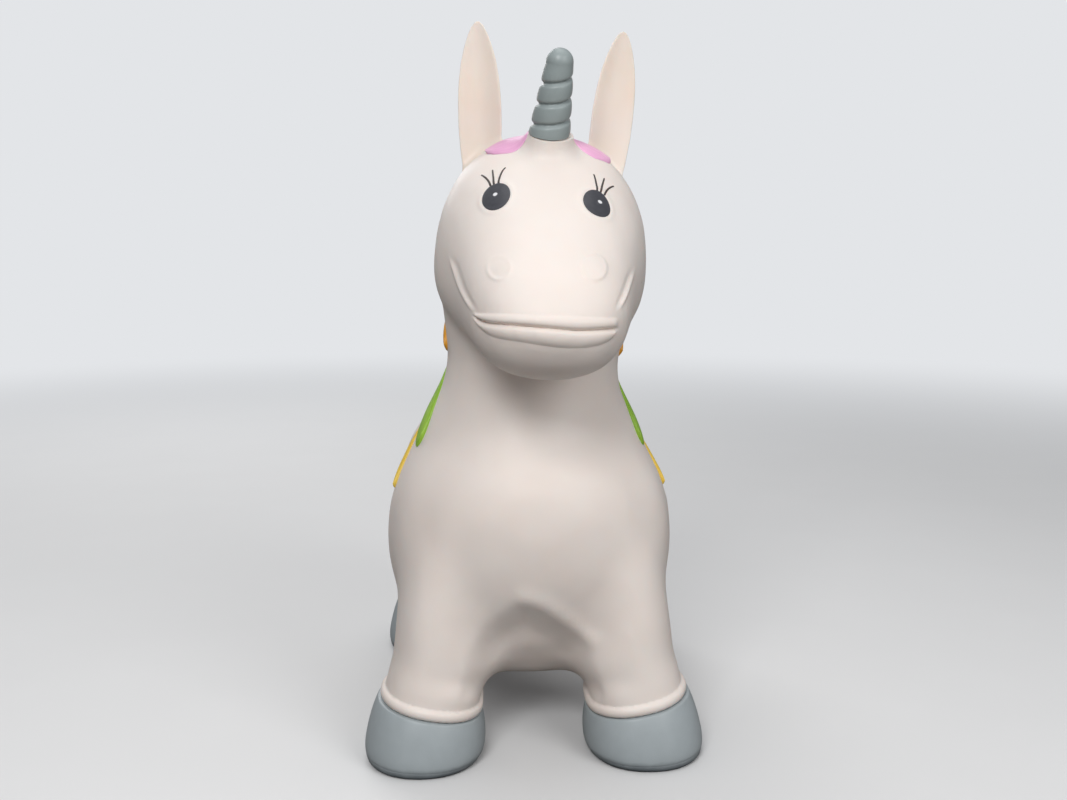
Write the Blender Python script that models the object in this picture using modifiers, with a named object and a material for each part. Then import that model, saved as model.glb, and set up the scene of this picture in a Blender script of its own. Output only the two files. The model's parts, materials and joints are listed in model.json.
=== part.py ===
"""An inflatable ride-on unicorn, the kind that a child sits on and bounces.

One hollow soft skin makes the body, neck, head and legs. It stands on four coloured hooves, and
the horn, ears, mane, tail and eyes are pieces of their own. The air valve is under the belly.
Metres, +Z up. The animal faces -Y and stands on the ground at Z = 0.
"""

import math

import bmesh
import bpy
from mathutils import Matrix, Vector
from mathutils.bvhtree import BVHTree

# Overall sizes
SEAT_HEIGHT = 0.296
TORSO_LENGTH = 0.400
TORSO_WIDTH = 0.265
TORSO_MIDDLE = -0.042
BELLY_HEIGHT = 0.070
CROWN_HEIGHT = 0.540
CHIN_HEIGHT = 0.344
HEAD_LENGTH = 0.274
HEAD_WIDTH = 0.184
NAPE_FORWARD = -0.029
NECK_WIDTH = 0.150
NECK_DEPTH = 0.128
NECK_FORWARD = 0.041
HEAD_TILT = math.radians(3.3)
TILT_FOOT = 0.190
TILT_TOP = 0.420

# The skin and the gap between neighbours. The inside is cut deeper than the skin is thick, so
# that its flat faces nowhere come through to the outside
WALL = 0.0030
HOLLOW_DEPTH = 0.0050
GAP = 0.0003
OVERRUN = 0.010

# How finely the soft form is made
FORM_VOXEL = 0.0050
SMOOTH_ROUNDS = 12
SHOULDER_ROUNDS = 40
OUTER_FACES = 2620
INNER_FACES = 900
RING_SIDES = 32
ROUND_SQUARENESS = 2.0

# Legs and hooves
FRONT_LEG_ACROSS = 0.0920
REAR_LEG_ACROSS = 0.0840
FRONT_LEG_FORWARD = 0.100
REAR_LEG_FORWARD = -0.182
LEG_WIDTH = 0.088
LEG_DEPTH = 0.097
HIP_HEIGHT = 0.190
SEAM_HEIGHT = 0.0475
SEAM_SLOPE = math.radians(10)
BEAD_RADIUS = 0.0050
BEAD_SEAT = 0.0022
BEAD_LIFT = 0.0058
HOOF_TOE_WIDTH = 0.106
HOOF_TOE_DEPTH = 0.112
HOOF_SHIFT = 0.0070
HOOF_SOLE_SHARE = 0.80
HOOF_WALL = 0.0032
HOOF_SIDES = 20
HOOF_SOLE = 0.0045

# Horn and its seat on the forehead
HORN_LENGTH = 0.071
HORN_RADIUS = 0.0172
HORN_TIP_RADIUS = 0.0112
HORN_PITCH = 0.0168
HORN_GROOVE = 0.0022
HORN_WALL = 0.0035
HORN_LEAN = math.radians(22)
HORN_SEAT_SHARES = (0.493, 0.990)
HORN_SEAT_RADIUS = 0.0192
HORN_SIDES = 20
HORN_ROWS_PER_TURN = 6

# Ears
EAR_LENGTH = 0.1325
EAR_WIDTH = 0.0385
EAR_SCOOP = 0.0065
EAR_THICKNESS = 0.0075
EAR_ROOT = 0.020
EAR_FOOT_SHARES = (0.587, 0.274)
EAR_OUT_LEAN = math.radians(4.3)
EAR_BACK_LEAN = math.radians(2.6)
EAR_TURN = math.radians(12)
EAR_SIDES = 14

# Face
EYE_PLACE_SHARES = (0.440, 0.714)
EYE_WIDTH = 0.025
EYE_TALL = 0.028
EYE_TILT = math.radians(24)
EYE_RAISE = 0.0011
NOSTRIL_PLACE_SHARES = (0.375, 0.449)
NOSTRIL_RADIUS = 0.0092
NOSTRIL_RAISE = 0.0016
MOUTH_HEIGHT_SHARE = 0.234
MOUTH_WIDTH = 0.110
MOUTH_RISE = 0.0040
LIP_RADIUS = 0.0040
LIP_RAISE = 0.0016
LIP_SPACING = 0.0105

# Hair
HAIR_RAISE = 0.0034
HAIR_ROOT = 0.0020
STRAND_STATIONS = 9
STRAND_SIDES = 8

# Air valve
VALVE_FORWARD = -0.036
VALVE_PAD_RADIUS = 0.0165
VALVE_PAD_DROP = 0.0015
VALVE_HOLE_RADIUS = 0.0088
SEAT_FLANGE_RADIUS = 0.0135
SEAT_FLANGE_THICKNESS = 0.0016
SEAT_CATCH = 0.0010
PLUG_SHANK_RADIUS = 0.0050
PLUG_SHANK_LENGTH = 0.0150
PLUG_HEAD_RADIUS = 0.0095
PLUG_HEAD_THICKNESS = 0.0024
PLUG_CLEARANCE = 0.00025
PLUG_TIP = 0.0016
VALVE_SIDES = 18

# Cross-sections from rump to chest: how far along, then shares of half the width, and how far
# the back and the belly lie from the middle level as shares of half the depth
TORSO_SHARES = [
    (-0.500, 0.10, 0.17, 0.10),
    (-0.484, 0.31, 0.42, 0.28),
    (-0.450, 0.56, 0.68, 0.55),
    (-0.362, 0.86, 0.94, 0.88),
    (-0.237, 0.965, 1.06, 1.00),
    (-0.087, 0.91, 1.00, 1.00),
    (0.062, 0.92, 1.00, 1.00),
    (0.212, 1.00, 1.08, 1.07),
    (0.337, 0.91, 1.04, 1.06),
    (0.437, 0.62, 0.82, 0.66),
    (0.483, 0.34, 0.54, 0.32),
    (0.500, 0.10, 0.22, 0.08),
]
TORSO_SQUARENESS = 2.25

# The neck's foot inside the body, as a share of the seat's height. Level cross-sections up the
# neck: height from foot to crown, then shares of the neck's half width, its half depth in front
# and behind, and a forward shift as a share of its depth
NECK_FOOT_SHARE = 0.642
NECK_SQUARENESS = 2.02
NECK_SHARES = [
    (0.00, 1.33, 1.72, 1.40, -0.16),
    (0.115, 1.55, 1.76, 1.34, -0.12),
    (0.200, 1.47, 1.60, 1.20, -0.09),
    (0.285, 1.28, 1.38, 1.06, -0.05),
    (0.370, 1.07, 1.20, 0.94, 0.00),
    (0.443, 1.02, 1.11, 0.875, 0.03),
    (0.514, 1.07, 1.12, 0.875, 0.06),
    (0.600, 1.13, 1.10, 0.90, 0.09),
    (0.686, 1.10, 0.95, 0.92, 0.12),
]

# Upright cross-sections of the head from nape to nose: how far along, then the share of half the
# width, and the heights of top, foot and widest level, from chin (0) to crown (1)
HEAD_SHARES = [
    (0.000, 0.16, 0.66, 0.48, 0.57),
    (0.037, 0.49, 0.80, 0.33, 0.55),
    (0.110, 0.76, 0.93, 0.21, 0.50),
    (0.221, 0.94, 0.995, 0.13, 0.45),
    (0.331, 1.01, 1.00, 0.08, 0.42),
    (0.441, 0.985, 0.97, 0.06, 0.41),
    (0.551, 0.90, 0.87, 0.045, 0.39),
    (0.662, 0.80, 0.725, 0.03, 0.35),
    (0.772, 0.72, 0.59, 0.00, 0.30),
    (0.864, 0.65, 0.49, 0.01, 0.26),
    (0.938, 0.51, 0.40, 0.065, 0.24),
    (0.982, 0.28, 0.32, 0.14, 0.23),
    (1.000, 0.09, 0.27, 0.20, 0.23),
]
HEAD_SQUARENESS = 2.3

# Level cross-sections down a leg: height as a share of the hip's, then shares of half the leg's
# width and depth, the place across as a share of the hoof's, and the step back to the hip as a
# share of half the depth
LEG_SQUARENESS = 2.2
LEG_SHARES = [
    (1.00, 1.08, 1.22, 0.70, 0.45),
    (0.79, 1.10, 1.22, 0.76, 0.34),
    (0.61, 1.04, 1.14, 0.845, 0.20),
    (0.46, 1.15, 1.06, 0.800, 0.08),
    (0.41, 1.11, 1.02, 0.885, 0.03),
    (0.36, 1.00, 1.00, 0.96, 0.00),
    (0.32, 1.00, 1.00, 0.975, 0.00),
    (0.25, 1.00, 1.00, 1.00, 0.00),
    (0.11, 1.00, 1.00, 1.00, 0.00),
]

# The stub under the horn: depth below the seat and radius, as shares of the seat's radius
HORN_STUB_SHARES = [(2.34, 1.25), (1.04, 1.22), (0.42, 1.06), (-0.52, 1.00)]

# Ear width along its length, from foot to tip
EAR_SHARES = [
    (0.00, 0.78), (0.16, 0.93), (0.32, 1.00), (0.48, 1.00), (0.62, 0.94), (0.74, 0.82),
    (0.84, 0.65), (0.92, 0.45), (0.97, 0.28), (1.00, 0.08),
]

# Hoof outline from its rim down to the sole: depth below the seam, then how far the width has
# grown from the leg's to the toe's; the second table is for the inside
HOOF_SQUARENESS = 2.15
HOOF_SHARES = [(0.00, 0.30), (0.12, 0.52), (0.26, 0.72), (0.42, 0.87), (0.58, 0.97), (0.74, 1.00),
               (0.89, 0.88)]
HOOF_INSIDE_SHARES = [(0.00, 0.30), (0.30, 0.70), (0.62, 0.88), (1.00, 0.62)]

# Edges between the locks of the mane, from poll to withers: the height where each leaves the crest
# of the neck and the height at the neck's side, both from the seat (0) to the crown (1)
MANE_EDGE_SHARES = [
    (0.844, 0.746), (0.680, 0.590), (0.488, 0.418), (0.283, 0.213), (0.057, -0.139),
    (-0.287, -0.373),
]

# The locks between those edges: the paint, and how far round the neck from the crest they reach
MANE_LOCKS = [
    ("rose", math.radians(62)), ("pink", math.radians(92)), ("orange", math.radians(97)),
    ("green", math.radians(108)), ("yellow", math.radians(100)),
]
LOCK_FALL_SHARE = 1.5
LOCK_ROUND_SHARE = 0.5
LOCK_START = math.radians(0.4)

# How far the look back to the crest is raised, by height from the seat (0) to the crown (1)
CREST_CLIMB_SHARES = [
    (-0.328, math.radians(45)), (0.057, math.radians(25)), (0.263, math.radians(8)),
    (0.508, math.radians(0)), (0.672, math.radians(3)), (0.856, math.radians(20)),
]


def new_collection(name):
    made = bpy.data.collections.new(name)
    bpy.context.scene.collection.children.link(made)
    return made


def clear_scene():
    for obj in list(bpy.data.objects):
        bpy.data.objects.remove(obj, do_unlink=True)


def material(name, colour, roughness):
    made = bpy.data.materials.new(name)
    made.use_nodes = True
    shader = made.node_tree.nodes["Principled BSDF"]
    shader.inputs["Base Color"].default_value = (*colour, 1.0)
    shader.inputs["Roughness"].default_value = roughness
    made.diffuse_color = (*colour, 1.0)
    return made


def object_of(name, mesh, collection):
    made = bpy.data.objects.new(name, mesh)
    collection.objects.link(made)
    return made


def as_helper(obj):
    obj.hide_render = True
    obj.display_type = "WIRE"
    return obj


def evaluated_mesh(obj):
    graph = bpy.context.evaluated_depsgraph_get()
    return bpy.data.meshes.new_from_object(obj.evaluated_get(graph))


def settle(obj):
    """Makes the object's modifiers part of its mesh."""
    mesh = evaluated_mesh(obj)
    obj.modifiers.clear()
    obj.data = mesh
    return obj


def boolean(obj, tool, operation, may_touch_itself=False):
    cut = obj.modifiers.new(operation.lower(), "BOOLEAN")
    cut.operation = operation
    cut.object = tool
    cut.solver = "EXACT"
    cut.use_self = may_touch_itself


def tilted(point):
    """Where a point goes as body and neck bend and the head leans to the animal's left."""
    span = TILT_TOP - TILT_FOOT
    share = min(1.0, max(0.0, (point.z - TILT_FOOT) / span))
    angle = HEAD_TILT * smooth_step(share)
    above = max(0.0, point.z - TILT_TOP)
    middle = HEAD_TILT * span * (share**3 - share**4 / 2) + above * math.sin(HEAD_TILT)
    height = point.z - above * (1 - math.cos(HEAD_TILT))
    return Vector((middle + point.x * math.cos(angle), point.y, height - point.x * math.sin(angle)))


def finish(obj, look):
    """The last touch to a piece: the lean of the head, its material, and smooth shading up to its
    sharp edges."""
    settle(obj)
    for vertex in obj.data.vertices:
        vertex.co = tilted(vertex.co)
    obj.data.materials.clear()
    obj.data.materials.append(look)
    obj.data.shade_smooth()
    obj.data.set_sharp_from_angle(angle=math.radians(40))
    return obj


def ring(centre, across, up, half_width, rise, drop, squareness, sides):
    """A closed egg-shaped ring of points round centre, in the plane of across and up."""
    points = []
    for step in range(sides):
        angle = 2 * math.pi * step / sides
        c = math.cos(angle)
        s = math.sin(angle)
        u = half_width * math.copysign(abs(c) ** (2 / squareness), c)
        v = (rise if s > 0 else drop) * math.copysign(abs(s) ** (2 / squareness), s)
        points.append(centre + across * u + up * v)
    return points


def loft(name, rings, collection, closed_ends=True):
    """A skin through rings of equally many points, each ring running the same way round."""
    mesh = bmesh.new()
    rows = [[mesh.verts.new(point) for point in points] for points in rings]
    sides = len(rows[0])
    for lower, upper in zip(rows, rows[1:]):
        for i in range(sides):
            j = (i + 1) % sides
            mesh.faces.new((lower[i], lower[j], upper[j], upper[i]))
    if closed_ends:
        mesh.faces.new(rows[0][::-1])
        mesh.faces.new(rows[-1])
        face_outwards(mesh)
    made = bpy.data.meshes.new(name)
    mesh.to_mesh(made)
    mesh.free()
    return object_of(name, made, collection)


def face_outwards(mesh):
    """Turns a closed mesh, whose faces all run the same way round, right side out."""
    if mesh.calc_volume(signed=True) < 0:
        bmesh.ops.reverse_faces(mesh, faces=mesh.faces)


def turned(name, profile, place, sides, collection):
    """A closed solid of revolution about +Z at place, from (radius, height) points."""
    rows = [
        [
            place + Vector((radius * math.cos(a), radius * math.sin(a), height))
            for a in (2 * math.pi * k / sides for k in range(sides))
        ]
        for radius, height in profile
    ]
    return loft(name, rows, collection)


def at(across, forward, height):
    return Vector((across, -forward, height))


X = Vector((1, 0, 0))
Z = Vector((0, 0, 1))
FRONT = Vector((0, -1, 0))

LEGS = [
    ("front_right", -FRONT_LEG_ACROSS, FRONT_LEG_FORWARD),
    ("front_left", FRONT_LEG_ACROSS, FRONT_LEG_FORWARD),
    ("rear_right", -REAR_LEG_ACROSS, REAR_LEG_FORWARD),
    ("rear_left", REAR_LEG_ACROSS, REAR_LEG_FORWARD),
]


def torso_loft(helpers):
    half_depth = (SEAT_HEIGHT - BELLY_HEIGHT) / 2
    rings = []
    for along, wide, back, belly in TORSO_SHARES:
        centre = at(0, TORSO_MIDDLE + along * TORSO_LENGTH, BELLY_HEIGHT + half_depth)
        rings.append(
            ring(
                centre, X, Z, wide * TORSO_WIDTH / 2, back * half_depth, belly * half_depth,
                TORSO_SQUARENESS, RING_SIDES,
            )
        )
    return loft("torso_form", rings, helpers)


def neck_centre(share, shift):
    foot = NECK_FOOT_SHARE * SEAT_HEIGHT
    return at(0, NECK_FORWARD + shift * NECK_DEPTH, foot + share * (CROWN_HEIGHT - foot))


def on_head(across, height):
    """A point in front of the face, from shares of half the head's width and of its height."""
    tall = CROWN_HEIGHT - CHIN_HEIGHT
    return at(across * HEAD_WIDTH / 2, HEAD_LENGTH * 2, CHIN_HEIGHT + height * tall)


def over_head(across, along):
    """A point over the head, from shares of half its width and of its length from the nape."""
    return at(across * HEAD_WIDTH / 2, NAPE_FORWARD + along * HEAD_LENGTH, 2 * CROWN_HEIGHT)


def neck_loft(helpers):
    rings = []
    for share, wide, fore, aft, shift in NECK_SHARES:
        rings.append(
            ring(
                neck_centre(share, shift), X, FRONT, wide * NECK_WIDTH / 2,
                fore * NECK_DEPTH / 2, aft * NECK_DEPTH / 2, NECK_SQUARENESS, RING_SIDES,
            )
        )
    return loft("neck_form", rings, helpers)


def head_loft(helpers):
    tall = CROWN_HEIGHT - CHIN_HEIGHT
    rings = []
    for along, wide, top, foot, level in HEAD_SHARES:
        centre = at(0, NAPE_FORWARD + along * HEAD_LENGTH, CHIN_HEIGHT + level * tall)
        rings.append(
            ring(
                centre, X, Z, wide * HEAD_WIDTH / 2, (top - level) * tall,
                (level - foot) * tall, HEAD_SQUARENESS, RING_SIDES,
            )
        )
    return loft("head_form", rings, helpers)


def leg_loft(name, across, forward, lean, helpers):
    """lean is 1 for a front leg, whose hip lies further back, and -1 for a rear one."""
    rings = []
    for height, wide, deep, inward, back in LEG_SHARES:
        centre = at(inward * across, forward - lean * back * LEG_DEPTH / 2, height * HIP_HEIGHT)
        half_depth = deep * LEG_DEPTH / 2
        half_width = wide * LEG_WIDTH / 2
        rings.append(
            ring(centre, X, FRONT, half_width, half_depth, half_depth, LEG_SQUARENESS, RING_SIDES)
        )
    return loft(name, rings, helpers)


def horn_axis():
    return Vector((0, -math.sin(HORN_LEAN), math.cos(HORN_LEAN)))


def horn_seat_centre():
    along, height = HORN_SEAT_SHARES
    tall = CROWN_HEIGHT - CHIN_HEIGHT
    return at(0, NAPE_FORWARD + along * HEAD_LENGTH, CHIN_HEIGHT + height * tall)


def horn_stub_loft(helpers):
    axis = horn_axis()
    forward = X.cross(axis)
    rings = []
    for down, grow in HORN_STUB_SHARES:
        radius = HORN_SEAT_RADIUS * grow
        centre = horn_seat_centre() - axis * down * HORN_SEAT_RADIUS
        rings.append(ring(centre, X, forward, radius, radius, radius, ROUND_SQUARENESS, RING_SIDES))
    return loft("horn_stub_form", rings, helpers)


def joined(name, objects, collection):
    """One helper object that holds the meshes of several, which it takes the place of."""
    mesh = bmesh.new()
    for obj in objects:
        mesh.from_mesh(obj.data)
        bpy.data.objects.remove(obj, do_unlink=True)
    made = bpy.data.meshes.new(name)
    mesh.to_mesh(made)
    mesh.free()
    return object_of(name, made, collection)


def faces_in(obj):
    obj.data.calc_loop_triangles()
    return len(obj.data.loop_triangles)


def soft_form(helpers):
    """Body, neck, head and legs grown into one smooth form."""
    lofts = [torso_loft(helpers), neck_loft(helpers), head_loft(helpers), horn_stub_loft(helpers)]
    for name, across, forward in LEGS:
        lofts.append(leg_loft("leg_form", across, forward, math.copysign(1, forward), helpers))
    form = joined("soft_form", lofts, helpers)
    grown = form.modifiers.new("grown", "REMESH")
    grown.mode = "VOXEL"
    grown.voxel_size = FORM_VOXEL
    settle(form)
    mark_shoulders(form)
    for name, group, rounds in (("all", "", SMOOTH_ROUNDS), ("joins", "shoulders", SHOULDER_ROUNDS)):
        smooth = form.modifiers.new(name, "SMOOTH")
        smooth.factor = 0.5
        smooth.iterations = rounds
        smooth.vertex_group = group
    return as_helper(settle(form))


def mark_shoulders(form):
    """A vertex group over body and upper legs, where the shapes run into each other softly. It
    fades out at the seams below and at the neck above."""
    group = form.vertex_groups.new(name="shoulders")
    low = SEAM_HEIGHT + BEAD_LIFT
    for vertex in form.data.vertices:
        height = vertex.co.z
        rise = smooth_step((height - low) / (BELLY_HEIGHT / 5))
        fall = smooth_step((CHIN_HEIGHT - height) / (CHIN_HEIGHT - SEAT_HEIGHT))
        group.add([vertex.index], rise * fall, "REPLACE")


def smooth_step(share):
    share = min(1.0, max(0.0, share))
    return share * share * (3 - 2 * share)


def shifted_copy(form, name, distance, helpers):
    """A copy of a closed form with every point moved out along its normal by distance."""
    made = object_of(name, form.data.copy(), helpers)
    move = made.modifiers.new("shift", "DISPLACE")
    move.strength = distance
    move.mid_level = 0.0
    return as_helper(settle(made))


def coarser(obj, faces):
    """Fewer faces, and the same on both sides."""
    less = obj.modifiers.new("fewer_faces", "DECIMATE")
    less.ratio = faces / faces_in(obj)
    less.use_collapse_triangulate = True
    mirror = obj.modifiers.new("same_both_sides", "MIRROR")
    mirror.use_axis = (True, False, False)
    mirror.use_bisect_axis = (True, False, False)
    mirror.merge_threshold = GAP / 3
    return settle(obj)


class Surface:
    """Finds points on the outside of a closed form."""

    def __init__(self, obj):
        mesh = bmesh.new()
        mesh.from_mesh(obj.data)
        self.tree = BVHTree.FromBMesh(mesh)
        mesh.free()

    def nearest(self, point):
        place, normal, _, _ = self.tree.find_nearest(point)
        return place, normal

    def seen_from(self, start, direction):
        place, normal, _, _ = self.tree.ray_cast(start, direction)
        return place, normal

    def round_neck(self, height, angle):
        """The point seen from this height of the neck's axis, at an angle from straight back."""
        axis = at(0, NECK_FORWARD, height)
        climb = between(CREST_CLIMB_SHARES, (height - SEAT_HEIGHT) / (CROWN_HEIGHT - SEAT_HEIGHT))
        back = math.cos(angle)
        out = Vector((math.sin(angle), back * math.cos(climb), back * math.sin(climb)))
        return self.seen_from(axis + out * TORSO_LENGTH, -out)


def between(table, x):
    """The second value of a table of pairs at x, on straight lines between its rows."""
    for (low, before), (high, after) in zip(table, table[1:]):
        if x <= high:
            share = max(0.0, (x - low) / (high - low))
            return before + (after - before) * share
    return table[-1][1]


def strip(name, spot, raise_by, stations, sides, helpers):
    """A low rounded strip on a surface. spot gives a place and its normal, from how far along the
    strip it is (0 to 1) and how far across (-1 to 1)."""
    rings = []
    for i in range(stations):
        points = []
        for step in range(sides):
            angle = 2 * math.pi * (step + 0.5) / sides
            place, normal = spot(i / (stations - 1), math.cos(angle))
            lift = raise_by if math.sin(angle) > 0 else HAIR_ROOT
            points.append(place + normal * lift * math.sin(angle))
        rings.append(points)
    return loft(name, rings, helpers)


def ribbon(name, stations, raise_by, surface, helpers, sides=STRAND_SIDES):
    """A strip along a row of (place, half width) stations, which lie on the surface."""
    places = [surface.nearest(place) for place, _ in stations]

    def spot(along, across):
        i = round(along * (len(stations) - 1))
        place, normal = places[i]
        before = places[max(i - 1, 0)][0]
        after = places[min(i + 1, len(places) - 1)][0]
        sideways = (after - before).normalized().cross(normal).normalized()
        return surface.nearest(place + sideways * stations[i][1] * across)

    return strip(name, spot, raise_by, len(stations), sides, helpers)


def seam_plane(across, forward):
    """A point of the seam and its upward normal: the seam drops towards the animal's middle."""
    place = at(across, forward, SEAM_HEIGHT)
    slope = math.copysign(SEAM_SLOPE, across)
    return place, Vector((-math.sin(slope), 0, math.cos(slope)))


def block_below(name, place, normal, half_side, depth, cutters):
    """A square block whose top face lies at place, square to normal."""
    bpy.ops.mesh.primitive_cube_add(size=1, calc_uvs=False)
    block = bpy.context.active_object
    block.name = name
    turn = Z.rotation_difference(normal).to_matrix().to_4x4()
    stretch = Matrix.Diagonal((2 * half_side, 2 * half_side, depth, 1))
    block.data.transform(Matrix.Translation(place - normal * depth / 2) @ turn @ stretch)
    for home in list(block.users_collection):
        home.objects.unlink(block)
    cutters.objects.link(block)
    return as_helper(block)


def bead(name, leg_across, forward, helpers):
    """The rounded collar round a leg, just above its seam."""
    place, normal = seam_plane(leg_across, forward)
    centre = place + normal * BEAD_LIFT
    across = normal.cross(FRONT).normalized()
    rings = []
    steps = 20
    for step in range(steps):
        angle = 2 * math.pi * step / steps
        out = across * math.cos(angle) + FRONT * math.sin(angle)
        middle = (
            centre
            + across * math.cos(angle) * (LEG_WIDTH / 2 - BEAD_SEAT)
            + FRONT * math.sin(angle) * (LEG_DEPTH / 2 - BEAD_SEAT)
        )
        rings.append(
            ring(middle, out, normal, BEAD_RADIUS, BEAD_RADIUS, BEAD_RADIUS, ROUND_SQUARENESS, 7)
        )
    rings.append(rings[0])
    tube = loft(name, rings, helpers, closed_ends=False)
    weld(tube)
    return tube


def weld(obj):
    mesh = bmesh.new()
    mesh.from_mesh(obj.data)
    bmesh.ops.remove_doubles(mesh, verts=mesh.verts, dist=GAP / 10)
    face_outwards(mesh)
    mesh.to_mesh(obj.data)
    mesh.free()


def body_skin(form, outer, surface, parts, helpers, cutters, look):
    """The hollow skin, open where each hoof, the horn and the valve are set in."""
    skin = object_of("body_skin", outer.data.copy(), parts)
    for name, across, forward in LEGS:
        boolean(skin, as_helper(bead("bead_" + name, across, forward, helpers)), "UNION")
    for tool in face_relief(surface, helpers):
        boolean(skin, as_helper(tool), "UNION")
    boolean(skin, as_helper(valve_pad(surface, helpers)), "UNION")
    hollow = shifted_copy(form, "hollow", -HOLLOW_DEPTH, cutters)
    boolean(skin, coarser(hollow, INNER_FACES), "DIFFERENCE")
    for name, across, forward in LEGS:
        place, normal = seam_plane(across, forward)
        block = block_below("seam_cut_" + name, place, normal, LEG_DEPTH / 2 + OVERRUN, LEG_DEPTH, cutters)
        boolean(skin, block, "DIFFERENCE")
    axis = horn_axis()
    reach = HORN_SEAT_RADIUS + OVERRUN
    block = block_below("horn_cut", horn_seat_centre(), -axis, reach, 3 * OVERRUN, cutters)
    boolean(skin, block, "DIFFERENCE")
    land = VALVE_PAD_DROP + WALL
    bore = [
        (VALVE_HOLE_RADIUS, -OVERRUN),
        (VALVE_HOLE_RADIUS, land),
        (SEAT_FLANGE_RADIUS, land),
        (SEAT_FLANGE_RADIUS, land + OVERRUN),
    ]
    bore = turned("valve_bore", bore, valve_place(surface), VALVE_SIDES, cutters)
    boolean(skin, as_helper(bore), "DIFFERENCE")
    return finish(skin, look)


def mouth_stations(surface, drop, half_width, width):
    """Places along the mouth, from one corner to the other, as the front view shows them."""
    stations = []
    steps = 13
    middle = on_head(0, MOUTH_HEIGHT_SHARE)
    for i in range(steps):
        u = -1 + 2 * i / (steps - 1)
        rise = MOUTH_RISE * abs(u) ** 3 - drop
        place, _ = surface.seen_from(middle + X * u * width / 2 + Z * rise, -FRONT)
        stations.append((place, half_width * (1 - 0.6 * abs(u) ** 4)))
    return stations


def face_relief(surface, helpers):
    """Lips and nostril rings, which stand a little out of the skin."""
    relief = []
    for name, drop, width in (
        ("upper_lip", -LIP_SPACING / 2, MOUTH_WIDTH),
        ("lower_lip", LIP_SPACING / 2, MOUTH_WIDTH * 0.86),
    ):
        stations = mouth_stations(surface, drop, LIP_RADIUS, width)
        relief.append(ribbon(name, stations, LIP_RAISE, surface, helpers, sides=6))
    for side in (-1, 1):
        across, height = NOSTRIL_PLACE_SHARES
        place = on_head(side * across, height)
        stations = oval_stations(surface, place, NOSTRIL_RADIUS, NOSTRIL_RADIUS, 0.0)
        relief.append(ribbon("nostril", stations, NOSTRIL_RAISE, surface, helpers, sides=8))
    return relief


def oval_stations(surface, middle, half_width, half_height, tilt):
    """An oval on the face behind middle, as strips from its foot to its top."""
    stations = []
    steps = 8
    for i in range(steps):
        v = -0.985 + 1.97 * i / (steps - 1)
        along = X * math.sin(tilt) + Z * math.cos(tilt)
        place, _ = surface.seen_from(middle + along * v * half_height, -FRONT)
        stations.append((place, half_width * math.sqrt(1 - v * v)))
    return stations


def hoof(name, leg_across, forward, parts, cutters, look):
    """A moulded hoof: a cup with its rim at the leg's seam and a flat sole on the ground."""
    side = math.copysign(1, leg_across)
    seam, normal = seam_plane(leg_across, forward)
    across = normal.cross(FRONT).normalized()
    rim = seam - normal * GAP
    rings = []
    for depth, growth in HOOF_SHARES:
        level = across.lerp(X, depth).normalized()
        centre = rim.lerp(at(rim.x, forward, 0.0), depth)
        centre = centre + X * side * HOOF_SHIFT * depth + FRONT * HOOF_SHIFT * depth
        half_width = (LEG_WIDTH + (HOOF_TOE_WIDTH - LEG_WIDTH) * growth) / 2
        half_depth = (LEG_DEPTH + (HOOF_TOE_DEPTH - LEG_DEPTH) * growth) / 2
        rings.append(ring(centre, level, FRONT, half_width, half_depth, half_depth, HOOF_SQUARENESS, HOOF_SIDES))
    ground = at(rim.x + side * HOOF_SHIFT, forward + HOOF_SHIFT, 0.0)
    sole_width = HOOF_TOE_WIDTH / 2 * HOOF_SOLE_SHARE
    sole_depth = HOOF_TOE_DEPTH / 2 * HOOF_SOLE_SHARE
    rings.append(ring(ground, X, FRONT, sole_width, sole_depth, sole_depth, HOOF_SQUARENESS, HOOF_SIDES))
    cup = loft(name, rings, parts)
    inside = []
    lift = normal * OVERRUN
    for depth, growth in HOOF_INSIDE_SHARES:
        level = across.lerp(X, depth).normalized()
        floor = at(rim.x + side * HOOF_SHIFT, forward + HOOF_SHIFT, HOOF_SOLE)
        centre = rim.lerp(floor, depth)
        half_width = (LEG_WIDTH + (HOOF_TOE_WIDTH - LEG_WIDTH) * growth) / 2 - HOOF_WALL
        half_depth = (LEG_DEPTH + (HOOF_TOE_DEPTH - LEG_DEPTH) * growth) / 2 - HOOF_WALL
        inside.append(ring(centre, level, FRONT, half_width, half_depth, half_depth, HOOF_SQUARENESS, HOOF_SIDES))
    inside.insert(0, [point + lift for point in inside[0]])
    boolean(cup, as_helper(loft(name + "_inside", inside, cutters)), "DIFFERENCE")
    return finish(cup, look)


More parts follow.
